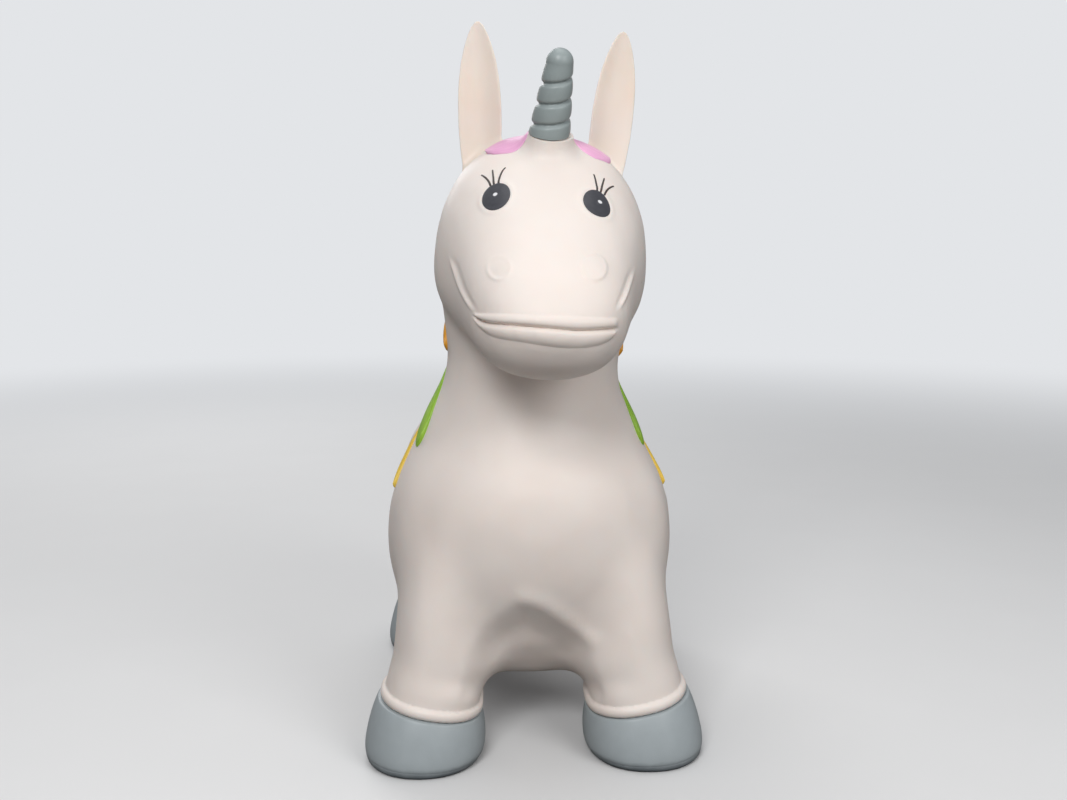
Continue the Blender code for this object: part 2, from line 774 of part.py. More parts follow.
def horn(parts, cutters, look):
    """A hollow horn wound by one band, which rises along it like a screw and dies out at the tip."""
    axis = horn_axis()
    forward = X.cross(axis)
    base = horn_seat_centre() + axis * GAP
    turns = HORN_LENGTH / HORN_PITCH
    rows = int(turns * HORN_ROWS_PER_TURN)
    dome = HORN_TIP_RADIUS
    rings = []
    for row in range(rows + 1):
        along = (HORN_LENGTH - dome) * row / rows
        fade = min(1.0, (HORN_LENGTH - dome - along) / HORN_PITCH)
        taper = HORN_RADIUS + (HORN_TIP_RADIUS - HORN_RADIUS) * along / (HORN_LENGTH - dome)
        points = []
        for k in range(HORN_SIDES):
            angle = 2 * math.pi * k / HORN_SIDES
            phase = along / HORN_PITCH - angle / (2 * math.pi)
            band = math.sqrt(abs(math.sin(math.pi * phase)))
            radius = taper - HORN_GROOVE * fade * (1 - band)
            out = X * math.cos(angle) + forward * math.sin(angle)
            points.append(base + axis * along + out * radius)
        rings.append(points)
    for step in range(1, 6):
        bend = math.pi / 2 * step / 6
        centre = base + axis * (HORN_LENGTH - dome + dome * math.sin(bend))
        radius = HORN_TIP_RADIUS * math.cos(bend)
        rings.append(ring(centre, X, forward, radius, radius, radius, ROUND_SQUARENESS, HORN_SIDES))
    made = loft("horn", rings, parts)
    inner = HORN_RADIUS - HORN_GROOVE - HORN_WALL
    tip = HORN_TIP_RADIUS - HORN_GROOVE - HORN_WALL / 2
    hollow = []
    for along, radius in ((-OVERRUN, inner), (0, inner), (HORN_LENGTH - 1.6 * dome, tip), (HORN_LENGTH - dome, tip / 2)):
        centre = base + axis * along
        hollow.append(ring(centre, X, forward, radius, radius, radius, ROUND_SQUARENESS, 16))
    boolean(made, as_helper(loft("horn_inside", hollow, cutters)), "DIFFERENCE")
    return finish(made, look)


def ear(name, side, surface, keep_off, parts, look):
    """A leaf-shaped ear, hollowed a little in front, that fits the head beneath it."""
    across, along = EAR_FOOT_SHARES
    foot, _ = surface.seen_from(over_head(side * across, along), -Z)
    foot = foot - Z * EAR_ROOT
    out = X * side
    axis = (Z + out * math.tan(EAR_OUT_LEAN) - FRONT * math.tan(EAR_BACK_LEAN)).normalized()
    facing = FRONT * math.cos(EAR_TURN) + out * math.sin(EAR_TURN)
    across = facing.cross(axis).normalized()
    facing = axis.cross(across).normalized()
    rings = []
    sides = EAR_SIDES
    for along, wide in EAR_SHARES:
        half = wide * EAR_WIDTH / 2
        centre = foot + axis * along * EAR_LENGTH
        points = []
        for step in range(sides):
            angle = 2 * math.pi * step / sides
            c = math.cos(angle)
            hollow = -EAR_SCOOP * wide * (1 - c * c)
            thick = EAR_THICKNESS / 2 * math.sqrt(wide) * math.sin(angle)
            points.append(centre + across * half * c + facing * (hollow + thick))
        rings.append(points)
    made = loft(name, rings, parts)
    boolean(made, keep_off, "DIFFERENCE")
    return finish(made, look)


def belly_height(surface):
    place, _ = surface.seen_from(at(0, VALVE_FORWARD, -OVERRUN), Z)
    return place.z


def valve_place(surface):
    """The middle of the valve pad's lower face."""
    return at(0, VALVE_FORWARD, belly_height(surface) - VALVE_PAD_DROP)


def valve_pad(surface, helpers):
    profile = [(VALVE_PAD_RADIUS, 0.0), (VALVE_PAD_RADIUS, VALVE_PAD_DROP + WALL * 0.8)]
    return turned("valve_pad", profile, valve_place(surface), VALVE_SIDES, helpers)


def valve_seat(surface, parts, look):
    """The stiff ring that lines the hole: a flange below the pad and a catch above the skin."""
    through = VALVE_PAD_DROP + WALL
    barrel = VALVE_HOLE_RADIUS - GAP
    bore = PLUG_SHANK_RADIUS + PLUG_CLEARANCE
    top = through + 3 * GAP + 2 * SEAT_CATCH
    profile = [
        (bore, -GAP - SEAT_FLANGE_THICKNESS),
        (SEAT_FLANGE_RADIUS - GAP, -GAP - SEAT_FLANGE_THICKNESS),
        (SEAT_FLANGE_RADIUS, -GAP - SEAT_FLANGE_THICKNESS / 2),
        (SEAT_FLANGE_RADIUS, -GAP),
        (barrel, -GAP),
        (barrel, through + 3 * GAP),
        (barrel + SEAT_CATCH, through + 3 * GAP),
        (barrel, top),
        (bore, top),
    ]
    return finish(turned_ring("valve_seat", profile, valve_place(surface), parts), look)


def turned_ring(name, profile, place, collection):
    """A ring with a hole, from a closed loop of (radius, height) points."""
    rows = []
    for k in range(VALVE_SIDES + 1):
        a = 2 * math.pi * (k % VALVE_SIDES) / VALVE_SIDES
        rows.append([place + Vector((r * math.cos(a), r * math.sin(a), h)) for r, h in profile])
    made = loft(name, rows, collection, closed_ends=False)
    weld(made)
    return made


def air_plug(surface, parts, look):
    """The push-in plug: a flat head below the flange and a ribbed shank up the bore."""
    head_top = -GAP - SEAT_FLANGE_THICKNESS - GAP
    rib = PLUG_CLEARANCE / 2
    profile = [(PLUG_HEAD_RADIUS * 0.55, head_top - PLUG_HEAD_THICKNESS)]
    profile.append((PLUG_HEAD_RADIUS * 0.93, head_top - PLUG_HEAD_THICKNESS))
    profile.append((PLUG_HEAD_RADIUS, head_top - PLUG_HEAD_THICKNESS / 2))
    profile.append((PLUG_HEAD_RADIUS, head_top))
    profile.append((PLUG_SHANK_RADIUS, head_top))
    for share in (0.30, 0.52, 0.74):
        level = head_top + share * PLUG_SHANK_LENGTH
        profile.append((PLUG_SHANK_RADIUS - rib, level - 2 * GAP))
        profile.append((PLUG_SHANK_RADIUS + rib, level))
        profile.append((PLUG_SHANK_RADIUS - rib, level + 2 * GAP))
    profile.append((PLUG_SHANK_RADIUS, head_top + PLUG_SHANK_LENGTH - PLUG_TIP))
    profile.append((PLUG_SHANK_RADIUS - PLUG_TIP, head_top + PLUG_SHANK_LENGTH))
    return finish(turned("air_plug", profile, valve_place(surface), VALVE_SIDES, parts), look)


def other_half(side, cutters):
    """A block over all that lies past the middle plane, seen from side."""
    middle = Vector((side * GAP / 2, 0, CROWN_HEIGHT / 2))
    return block_below("other_half", middle, X * side, CROWN_HEIGHT, TORSO_WIDTH, cutters)


def fitted_lock(strand, neighbours, look):
    """A strand cut back to what it lies on and beside."""
    for neighbour in neighbours:
        boolean(strand, neighbour, "DIFFERENCE", may_touch_itself=True)
    return finish(strand, look)


def mane_edge(number, angle):
    """The height of an edge between two locks, at an angle round the neck from its crest."""
    crest, flank = MANE_EDGE_SHARES[number]
    fall = (max(0.0, angle) / math.radians(90)) ** LOCK_FALL_SHARE
    return SEAT_HEIGHT + (crest + (flank - crest) * fall) * (CROWN_HEIGHT - SEAT_HEIGHT)


def mane_lock(name, side, number, reach, surface, parts):
    """A lock from the crest of the neck, round its side and down to its rounded tip."""

    def spot(along, across):
        share = math.sin(math.pi / 2 * along)
        angle = LOCK_START + (reach - LOCK_START) * share
        top = mane_edge(number, angle)
        foot = mane_edge(number + 1, angle)
        past = max(0.0, share - 1 + LOCK_ROUND_SHARE) / LOCK_ROUND_SHARE
        half = max(((top - foot) / 2 - GAP) * math.sqrt(1 - past**2), GAP)
        return surface.round_neck((top + foot) / 2 + half * across, side * angle)

    return strip(name, spot, HAIR_RAISE, STRAND_STATIONS, STRAND_SIDES, parts)


def mane(surface, keep_off, parts, looks):
    for side, word in ((-1, "right"), (1, "left")):
        for number, (colour, reach) in enumerate(MANE_LOCKS):
            lock = mane_lock(f"mane_{colour}_{word}", side, number, reach, surface, parts)
            fitted_lock(lock, [keep_off], looks[colour])


# Forelock: places on top of the head as shares of half the head's width and of its length from
# the nape, with the half width of the strand as a share of half the head's width
FORELOCK_SHARES = [
    (0.08, 0.330, 0.200), (0.20, 0.375, 0.255), (0.32, 0.390, 0.265), (0.42, 0.390, 0.250),
    (0.50, 0.388, 0.190), (0.555, 0.383, 0.110), (0.59, 0.378, 0.030),
]


def forelock(surface, keep_off, parts, cutters, look):
    for side, word in ((-1, "right"), (1, "left")):
        stations = []
        for across, along, half in FORELOCK_SHARES:
            place, _ = surface.seen_from(over_head(side * across, along), -Z)
            stations.append((place, half * HEAD_WIDTH / 2))
        lock = ribbon(f"forelock_{word}", stations, HAIR_RAISE, surface, parts)
        fitted_lock(lock, [keep_off, other_half(side, cutters)], look)


# Tail: three strands side by side down the rump. At each height, as a share of SEAT_HEIGHT, the
# four edges between them, as shares of half the torso's width
TAIL_SHARES = [
    (0.98, (-0.10, -0.04, 0.04, 0.10)),
    (0.88, (-0.19, -0.07, 0.07, 0.19)),
    (0.76, (-0.27, -0.10, 0.08, 0.26)),
    (0.63, (-0.32, -0.12, 0.08, 0.29)),
    (0.50, (-0.34, -0.14, 0.06, 0.28)),
    (0.40, (-0.36, -0.17, 0.03, 0.25)),
    (0.30, (-0.40, -0.22, -0.02, 0.20)),
]
TAIL_TIP_SHARES = [("pink", 0.42), ("orange", 0.34), ("green", 0.40)]


def tail(surface, keep_off, parts, looks):
    for column, (colour, tip) in enumerate(TAIL_TIP_SHARES):
        strand = tail_strand(f"tail_{colour}", column, tip, surface, parts)
        fitted_lock(strand, [keep_off], looks[colour])


def tail_strand(name, column, tip, surface, parts):
    """One strand, between two neighbouring edges and narrowing to its tip."""
    root = TAIL_SHARES[0][0]
    edges = [
        sorted((up, across[column + k]) for up, across in TAIL_SHARES) for k in (0, 1)
    ]

    def spot(along, across):
        up = root + (tip - root) * along
        left, right = (between(edge, up) * TORSO_WIDTH / 2 for edge in edges)
        half = max(((right - left) / 2 - GAP) * (1 - along**3), GAP)
        place = at((left + right) / 2 + half * across, -TORSO_LENGTH, up * SEAT_HEIGHT)
        return surface.seen_from(place, FRONT)

    return strip(name, spot, 2 * HAIR_RAISE, STRAND_STATIONS, STRAND_SIDES, parts)


def eyes(surface, keep_off, parts, look):
    for side, word in ((-1, "right"), (1, "left")):
        across, height = EYE_PLACE_SHARES
        place = on_head(side * across, height)
        stations = oval_stations(surface, place, EYE_WIDTH / 2, EYE_TALL / 2, -side * EYE_TILT)
        made = ribbon(f"eye_{word}", stations, EYE_RAISE, surface, parts)
        boolean(made, keep_off, "DIFFERENCE")
        finish(made, look)


def main():
    clear_scene()
    parts = new_collection("ride_on_unicorn")
    helpers = new_collection("forms")
    cutters = new_collection("cutters")
    skin_look = material("skin_vinyl", (0.86, 0.79, 0.73), 0.5)
    hoof_look = material("hoof_vinyl", (0.35, 0.39, 0.40), 0.45)
    horn_look = material("horn_vinyl", (0.30, 0.35, 0.34), 0.35)
    eye_look = material("eye_paint", (0.03, 0.03, 0.035), 0.4)
    valve_look = material("valve_plastic", (0.80, 0.80, 0.78), 0.4)
    looks = {
        "rose": material("rose_paint", (0.80, 0.42, 0.66), 0.5),
        "pink": material("pink_paint", (0.83, 0.46, 0.70), 0.5),
        "orange": material("orange_paint", (0.83, 0.40, 0.06), 0.5),
        "green": material("green_paint", (0.33, 0.60, 0.04), 0.5),
        "yellow": material("yellow_paint", (0.86, 0.62, 0.10), 0.5),
    }

    form = soft_form(helpers)
    outer = as_helper(object_of("outer_form", form.data.copy(), helpers))
    coarser(outer, OUTER_FACES)
    surface = Surface(outer)
    keep_off = shifted_copy(outer, "keep_off", GAP, cutters)

    body_skin(form, outer, surface, parts, helpers, cutters, skin_look)
    for name, across, forward in LEGS:
        hoof("hoof_" + name, across, forward, parts, cutters, hoof_look)
    horn(parts, cutters, horn_look)
    for side, word in ((-1, "right"), (1, "left")):
        ear("ear_" + word, side, surface, keep_off, parts, skin_look)
    mane(surface, keep_off, parts, looks)
    forelock(surface, keep_off, parts, cutters, looks["pink"])
    tail(surface, keep_off, parts, looks)
    eyes(surface, keep_off, parts, eye_look)
    valve_seat(surface, parts, valve_look)
    air_plug(surface, parts, valve_look)


main()
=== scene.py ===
"""An inflatable ride-on unicorn: soft skin, hooves, horn, ears, face, mane, tail and air valve.

Metres, +Z up. The animal faces -Y and its left side is at +X.
"""

import json
import math

import bpy
import numpy as np
from mathutils import Matrix, Vector
from mathutils.bvhtree import BVHTree

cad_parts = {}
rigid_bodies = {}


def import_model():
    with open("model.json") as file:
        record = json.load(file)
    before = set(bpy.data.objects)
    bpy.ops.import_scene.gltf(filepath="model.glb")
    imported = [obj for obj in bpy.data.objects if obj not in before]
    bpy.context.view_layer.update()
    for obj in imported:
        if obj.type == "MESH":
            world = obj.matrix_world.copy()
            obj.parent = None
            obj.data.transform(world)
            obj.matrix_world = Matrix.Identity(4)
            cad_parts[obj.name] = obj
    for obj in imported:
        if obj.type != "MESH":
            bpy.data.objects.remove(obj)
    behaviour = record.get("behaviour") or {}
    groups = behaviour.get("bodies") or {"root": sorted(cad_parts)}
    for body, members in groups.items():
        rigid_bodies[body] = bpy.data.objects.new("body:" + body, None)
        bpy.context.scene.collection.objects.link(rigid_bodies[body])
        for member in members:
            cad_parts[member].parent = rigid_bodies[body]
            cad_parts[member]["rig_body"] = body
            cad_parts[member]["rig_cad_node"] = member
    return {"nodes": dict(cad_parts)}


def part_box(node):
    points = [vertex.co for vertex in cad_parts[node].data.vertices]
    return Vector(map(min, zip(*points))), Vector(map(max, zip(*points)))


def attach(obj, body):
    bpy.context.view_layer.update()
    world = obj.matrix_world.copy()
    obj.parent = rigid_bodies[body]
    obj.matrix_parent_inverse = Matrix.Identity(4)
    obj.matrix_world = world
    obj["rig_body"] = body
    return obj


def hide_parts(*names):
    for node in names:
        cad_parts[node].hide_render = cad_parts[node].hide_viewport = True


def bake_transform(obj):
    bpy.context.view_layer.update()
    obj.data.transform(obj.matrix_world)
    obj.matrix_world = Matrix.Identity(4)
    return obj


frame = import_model()

bl_info = {
    "name": "Ride-on unicorn",
    "version": (1, 0, 0),
    "blender": (4, 5, 0),
    "location": "View3D > Sidebar > Unicorn",
    "description": "Builds a soft inflatable ride-on unicorn round its packed frame",
    "category": "Object",
}

# The photograph's frame in pixels, and the camera that matches it
PHOTO_WIDTH = 1067
PHOTO_HEIGHT = 800
CAMERA_PLACE = Vector((-0.0712, -1.106, 0.4688))
CAMERA_YAW = math.radians(-4.0191)
CAMERA_PITCH = math.radians(-8.6604)
CAMERA_FOCUS = 1187.5
SENSOR_WIDTH = 36.0

# The bend of the neck, which carries the head over to the animal's left
HEAD_TILT = math.radians(3.3)
TILT_FOOT = 0.190
TILT_TOP = 0.420

# Legs: the places of the seams where the hooves begin, how far round a seam its own skin
# reaches, and the height below which each leg stands alone
SEAM_HEIGHT = 0.0475
SEAM_SLOPE = math.radians(10)
SEAM_REACH = 0.075
LEG_TOP = 0.12
LEG_WIDTH = 0.088
LEG_DEPTH = 0.097
LEGS = {
    "front_right": (-0.0920, -0.100),
    "front_left": (0.0920, -0.100),
    "rear_right": (-0.0840, 0.182),
    "rear_left": (0.0840, 0.182),
}
GAP = 0.0003

# The bead round a leg above its seam
BEAD_HEIGHT = 0.0094
BEAD_RISE = 0.0036
BEAD_MARGIN = 0.004

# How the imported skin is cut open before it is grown, above the beads and below the horn's rim,
# how far its ends then run on, and the bore that is left out round the valve
LEG_CUT = 0.014
LEG_RUN = 0.030
HORN_CUT = 0.0012
HORN_RUN = 0.012
HORN_REACH = 0.04
BORE_RADIUS = 0.0185
BORE_MARGIN = 0.004
VALVE_REACH = 0.04
TOUCH = 1e-5

# How finely the skin's face and beads are cut, and where its relief ends: at the sides that turn
# away from the camera, behind and below the face, and behind and above the chest
FACE_CUTS = 4
BEAD_CUTS = 3
FINE_FACE_FRONT = -0.11
FACE_FRONT = -0.09
FACE_FOOT = 0.34
CHEST_FRONT = -0.03
CHEST_FADE = 0.06
CHEST_TOP = 0.26
TURNED_AWAY = 0.3
HARD_EDGE = math.radians(60)

# Relief of the face and chest, in the photograph's pixels and in metres of rise. A reach is the
# half width of a soft ridge, a fade is how long it takes to die out, and a zone is how far round
# it the mesh is finer. A nostril has its middle, radius, and the rise of its rim and disc.
CURVE_STEPS = 60
LEAST_REACH = 1e-6
MOUTH_ZONE = ((462, 308), (628, 354))
MOUTH_ENDS = ((470, 9), (620, 7))
MOUTH = ((473, 316), (486, 323), (518, 326), (554, 329), (581, 331), (615, 329))
UPPER_LIP = ((470, 313), (545, 315), (619, 318))
LOWER_LIP = ((473, 319), (491, 336), (527, 343), (563, 348), (591, 347), (609, 341), (617, 331))
LIP_RISE = 0.0017
MOUTH_DEPTH = 0.0026
MOUTH_REACH = 1.7
CHEEK_FOLDS = (
    ((449, 255), (453, 268), (461, 291), (472, 311)),
    ((635, 265), (633, 275), (627, 293), (620, 309)),
)
FOLD_RISE = 0.0011
FOLD_REACH = 1.5
FOLD_ZONE = 8
FOLD_FADE = 14
FOLD_RUN_ON = 4
FURROW_SHARE = 0.7
FURROW_STEP = 4
FURROW_REACH = 2.4
NOSTRILS = (
    ((499, 268), 11.5, 0.0006, 0.0000),
    ((594, 268), 13.0, 0.0003, 0.0009),
)
NOSTRIL_ZONE = 7
NOSTRIL_RIM_REACH = 2.2
NOSTRIL_UPPER_SHARE = 0.6
NOSTRIL_DISC_FADE = 4
CHEST_FOLD = ((523, 598), (545, 605), (570, 622), (591, 640))
CHEST_FOLD_RISE = 0.0022
CHEST_FOLD_REACH = 8
HOLLOW = (
    (462, 676), (467, 648), (481, 624), (500, 608), (523, 599), (545, 606), (570, 622),
    (591, 640), (601, 676),
)
HOLLOW_DEPTH = 0.0130
HOLLOW_FADE = 30
HOLLOW_FOOT = 704
HOLLOW_FOOT_FADE = 26
UNDER_DEPTH = 0.0110
UNDER_TOP = 510
UNDER_FADE = 130
UNDER_MIDDLE = 532
UNDER_REACH = 90

# Hooves: depth below the seam, and how far the width has grown from the leg's to the toe's
HOOF_TOE_WIDTH = 0.106
HOOF_TOE_DEPTH = 0.112
HOOF_SHIFT = 0.0070
HOOF_SQUARENESS = 2.15
HOOF_SHARES = (
    (0.00, 0.26), (0.015, 0.33), (0.12, 0.52), (0.26, 0.72), (0.42, 0.87), (0.58, 0.97),
    (0.70, 1.00), (0.79, 0.96), (0.85, 0.87), (0.868, 0.78), (0.885, 0.80), (0.95, 0.64),
    (0.99, 0.38), (1.00, 0.05),
)
HOOF_SIDES = 40
# Heights between which the hooves' painted shade near the ground gives way to their grey
HOOF_SHADE_HEIGHTS = (0.004, 0.012)

# Horn: its band winds up it like a screw and dies out at the dome. The probes are the steps
# from its seat that give the leaning head's axes.
HORN_LENGTH = 0.071
HORN_RADIUS = 0.0172
HORN_TIP_RADIUS = 0.0112
HORN_PITCH = 0.0168
HORN_FIRST_TURN = 0.04
HORN_GROOVE = 0.0024
HORN_GROOVE_HALF_WIDTH = 0.0016
HORN_BULGE = 0.0008
HORN_DOME_LEFT = 0.02
HORN_FADE_TURNS = 0.10
HORN_MESH = (100, 72)
# Heights between which the horn's painted shade at its foot gives way to its grey
HORN_SHADE_HEIGHTS = (0.50, 0.53)
HORN_SEAT = Vector((0, -0.1061, 0.538))
HORN_LEAN = math.radians(22)
HORN_SIDE_LEAN = math.radians(3)
HORN_SIDE_STEP = -0.0012
PROBE_UP = 0.05
PROBE_ASIDE = 0.02

# Ears: their roots, lean and turn, the fillet at their foot, and their width along their length
EAR_ROOT = Vector((0.0540, -0.0461, 0.5020))
EAR_LENGTH = 0.1332
EAR_WIDTH = 0.0385
EAR_SCOOP = 0.0065
EAR_THICKNESS = 0.0075
EAR_OUT_LEAN = math.radians(4.3)
EAR_BACK_LEAN = math.radians(2.6)
EAR_TURN = math.radians(12)
EAR_FILLET = 0.007
EAR_LEAST_SIDE = 0.1
EAR_TIP_SHARE = 1.61
EAR_TIP_LEFT = 0.02
EAR_MESH = (40, 32)
# Peach that the ears' clouds drift to: a painted glow for the warm light that shines through thin
# vinyl
EAR_PAINTED_GLOW = "#f0dac4"
EAR_SHARES = (
    (0.00, 0.78), (0.16, 0.93), (0.32, 1.00), (0.48, 1.00), (0.62, 0.94), (0.74, 0.82),
    (0.84, 0.65), (0.92, 0.45), (0.97, 0.28), (1.00, 0.08),
)

# Hair: the locks' rises, and how far outside the skin the rays start that find their places
LOCK_MESH = (28, 24)
LOCK_ROOT = 0.002
MANE_LIFT = 0.0034
FORELOCK_LIFT = 0.0030
TAIL_LIFT = 0.0068
RAY_RUN = 0.4
ABOVE_HEAD = 0.7

# Mane: the axis that it is laid round, the seat and the crown, the locks' edges as heights
# between these two at the neck's crest and at its side, how far each lock reaches round the neck
# in degrees, and how steeply the rays climb along the crest
NECK_ALONG = -0.041
SEAT_HEIGHT = 0.296
CROWN_HEIGHT = 0.540
MANE_EDGE_SHARES = (
    (0.844, 0.746), (0.680, 0.565), (0.488, 0.365), (0.283, 0.165), (0.057, -0.139),
    (-0.287, -0.353),
)
MANE_LOCKS = (
    ("rose", 62), ("pink", 92), ("orange", 97), ("green", 105), ("yellow", 93),
)
CREST_CLIMB_SHARES = (
    (-0.328, 45), (0.057, 25), (0.263, 8), (0.508, 0), (0.672, 3), (0.856, 20),
)
LOCK_FALL_SHARE = 1.5
LOCK_ROUND_SHARE = 0.5
LOCK_START = math.radians(0.4)

# Forelock: each side's stretch, lead and width, and the way of its middle and its half width as
# shares of the head. Tail: heights on the rump and the strands' edges there.
HEAD_WIDTH = 0.184
HEAD_LENGTH = 0.274
NAPE_ALONG = 0.029
TORSO_WIDTH = 0.265
BEND_STEP = 0.02
FORELOCK_SIDES = {-1: (1.14, 0.022, 1.0), 1: (0.78, 0.004, 0.85)}
FORELOCK_SHARES = (
    (0.08, 0.330, 0.200), (0.20, 0.375, 0.255), (0.32, 0.390, 0.265), (0.42, 0.390, 0.250),
    (0.50, 0.388, 0.190), (0.555, 0.383, 0.110), (0.59, 0.378, 0.030),
)
TAIL_SHARES = (
    (0.98, (-0.10, -0.04, 0.04, 0.10)),
    (0.88, (-0.19, -0.07, 0.07, 0.19)),
    (0.76, (-0.27, -0.10, 0.08, 0.26)),
    (0.63, (-0.32, -0.12, 0.08, 0.29)),
    (0.50, (-0.34, -0.14, 0.06, 0.28)),
    (0.40, (-0.36, -0.17, 0.03, 0.25)),
    (0.30, (-0.40, -0.22, -0.02, 0.20)),
)
TAIL_TIP_SHARES = (("pink", 0.42), ("orange", 0.34), ("green", 0.40))

# Eyes in the photograph's pixels: middle, half axes, tilt in degrees, how far the low end
# narrows, glint and lashes
EYES = {
    "right": ((496.25, 196.9), (15.65, 11.9), 40.4, 0.0, (495.75, 195.5), (
        ((491.0, 187.0), (487.5, 179.8), (481.25, 175.0)),
        ((494.2, 186.0), (493.2, 177.0), (492.5, 170.0)),
        ((498.5, 186.0), (500.7, 174.5), (505.75, 167.5)))),
    "left": ((597.1, 204.0), (16.0, 10.7), -45.5, 0.14, (599.25, 203.0), (
        ((597.3, 193.0), (596.0, 182.5), (593.75, 174.25)),
        ((600.3, 193.0), (602.3, 185.2), (604.25, 178.25)),
        ((604.2, 195.5), (608.0, 189.2), (613.75, 186.25)))),
}
EYE_ZONE = 1.6
EYE_RISE = 0.0011
EYE_RIM_SHARE = 1.14
EYE_RIM_RISE = 0.0006
EYE_RIM_REACH = 2.4
EYE_MESH = (20, 48)
GLINT_RADIUS = 0.0023
GLINT_EDGE = 0.0003
LASH_HALF_WIDTH = 0.0009
LASH_ROOT_SHARE = 1.1
LASH_TIP_LOSS = 0.3
LASH_BLUNTNESS = 8
LASH_MESH = (14, 12)

# Soft vinyl: its clouds, dimples and specks of grit, the share of the specks' cells that have
# none, and how deep light runs in it. The orange peel is drawn as coarse as it needs to show.
PVC_IOR = 1.5
VINYL_ROUGHNESS = (0.42, 0.54)
VINYL_GLOW = 0.004
CLOUD_WIDTH = 0.060
DIMPLE_WIDTH = 0.025
DIMPLE_DEPTH = 0.0015
PEEL_WIDTH = 0.0016
PEEL_DEPTH = 0.0003
SPECK_SPACING = 0.022
SPECKLESS_SHARE = 0.72
SPECK_SHARE = 0.035
SPECK_STRENGTH = 0.55
SPECK_COLOUR = "#6e5a4c"

# Sprayed coat, brushed and stencilled paint, and the valve's plastic: the width of their clouds,
# strokes and streaks, and how far their shades stray
COAT_ROUGHNESS = (0.34, 0.46)
COAT_GLOW = 0.002
COAT_CLOUD_WIDTH = 0.012
COAT_SHADES = (0.93, 1.06)
# How ragged the line is where a coat's painted shade begins
PAINTED_SHADE_RAGGEDNESS = 0.004
COAT_PEEL_WIDTH = 0.0014
EYE_GRAIN = 0.004
EYE_SHADES = (0.8, 1.3)
STROKE_GRAIN = 0.003
LASH_SHADE = 1.8
STREAKS = (34, 5, 1)
STREAK_DEPTH = 0.0006
STREAK_CONTRAST = (0.75, 1.25)
HAIR_PATCH_WIDTH = 0.018
POLYETHYLENE_IOR = 1.51
VALVE_COLOURS = ("#e9e8e3", "#dddbd4")

# Studio: the floor, what the camera sees behind the object, the grey that the floor sends back
# up, and each lamp's place, width and power
FLOOR_SIZE = 40
FLOOR_GRAIN = 0.15
FLOOR_COLOUR = "#e6e6e6"
FLOOR_SHADE = 0.97
FLOOR_BOUNCE_COLOUR = "#6c6a68"
FLOOR_FADE = (0.9, 3.2)
BACKDROP_COLOUR = "#e3e5e8"
WORLD_COLOUR = "#f4f6fa"
WORLD_STRENGTH = 0.27
LAMPS = {
    "key": ((-0.6, -1.9, 1.7), 0.9, 28),
    "fill": ((1.2, -1.7, 1.3), 1.1, 16),
    "top": ((0.1, 0.1, 2.3), 1.2, 8),
    "back": ((-0.7, 1.8, 1.5), 1.4, 16),
}
LAMP_AIM = Vector((0, 0, 0.3))

X = Vector((1, 0, 0))
Z = Vector((0, 0, 1))
FRONT = Vector((0, -1, 0))
SIDES = {"right": -1, "left": 1}


def linear(code):
    """The linear colour of an sRGB hex value."""
    parts = [int(code[i:i + 2], 16) / 255 for i in (1, 3, 5)]
    return [p / 12.92 if p <= 0.04045 else ((p + 0.055) / 1.055) ** 2.4 for p in parts]


def smooth_step(share):
    share = np.clip(share, 0.0, 1.0)
    return share * share * (3 - 2 * share)


def smooth_table(rows, share):
    """A row of a table at a share of its length, on smooth curves through its rows."""
    where = share * (len(rows) - 1)
    i = min(int(where), len(rows) - 2)
    t = where - i
    a = np.array(rows[max(i - 1, 0)])
    b = np.array(rows[i])
    c = np.array(rows[i + 1])
    d = np.array(rows[min(i + 2, len(rows) - 1)])
    return b + 0.5 * t * (c - a + t * (2 * a - 5 * b + 4 * c - d + t * (3 * (b - c) + d - a)))


def curve(rows):
    """Many pixels on a smooth line through a few."""
    return np.array([smooth_table(rows, share) for share in np.linspace(0, 1, CURVE_STEPS)])


def far_from(line, spots):
    """How far spots of the frame lie from a smooth line through some pixels."""
    line = curve(line)
    nearest = np.full(len(spots), np.inf)
    for a, b in zip(line[:-1], line[1:]):
        way = b - a
        share = np.clip((spots - a) @ way / (way @ way), 0.0, 1.0)
        gap = np.linalg.norm(spots - a - share[:, None] * way, axis=1)
        nearest = np.minimum(nearest, gap)
    return nearest


def hump(distance, reach):
    """1 in the middle of a soft ridge, and almost nothing beyond twice its reach."""
    return np.exp(-((distance / reach) ** 2))


def bent(points):
    """Where points of the upright animal go as its neck bends and its head leans."""
    points = np.atleast_2d(np.asarray(points, float))
    span = TILT_TOP - TILT_FOOT
    share = np.clip((points[:, 2] - TILT_FOOT) / span, 0.0, 1.0)
    angle = HEAD_TILT * smooth_step(share)
    above = np.maximum(0.0, points[:, 2] - TILT_TOP)
    middle = HEAD_TILT * span * (share**3 - share**4 / 2) + above * math.sin(HEAD_TILT)
    height = points[:, 2] - above * (1 - math.cos(HEAD_TILT))
    x = middle + points[:, 0] * np.cos(angle)
    return np.stack([x, points[:, 1], height - points[:, 0] * np.sin(angle)], axis=1)


def bent_point(point):
    return Vector(bent(point)[0])


def only(obj):
    """Make this object the active one and the only one selected."""
    bpy.ops.object.select_all(action="DESELECT")
    obj.select_set(True)
    bpy.context.view_layer.objects.active = obj


def rows_of(parts, name):
    """A vector of each part of a mesh, in rows."""
    rows = np.empty(len(parts) * 3, np.float32)
    parts.foreach_get(name, rows)
    return rows.reshape(-1, 3).astype(float)


def points_of(obj):
    return rows_of(obj.data.vertices, "co")


def normals_of(obj):
    return rows_of(obj.data.vertex_normals, "vector")


def move_points(obj, points):
    obj.data.vertices.foreach_set("co", np.ascontiguousarray(points, np.float32).ravel())
    obj.data.update()


def face_middles(obj):
    return rows_of(obj.data.polygons, "center")


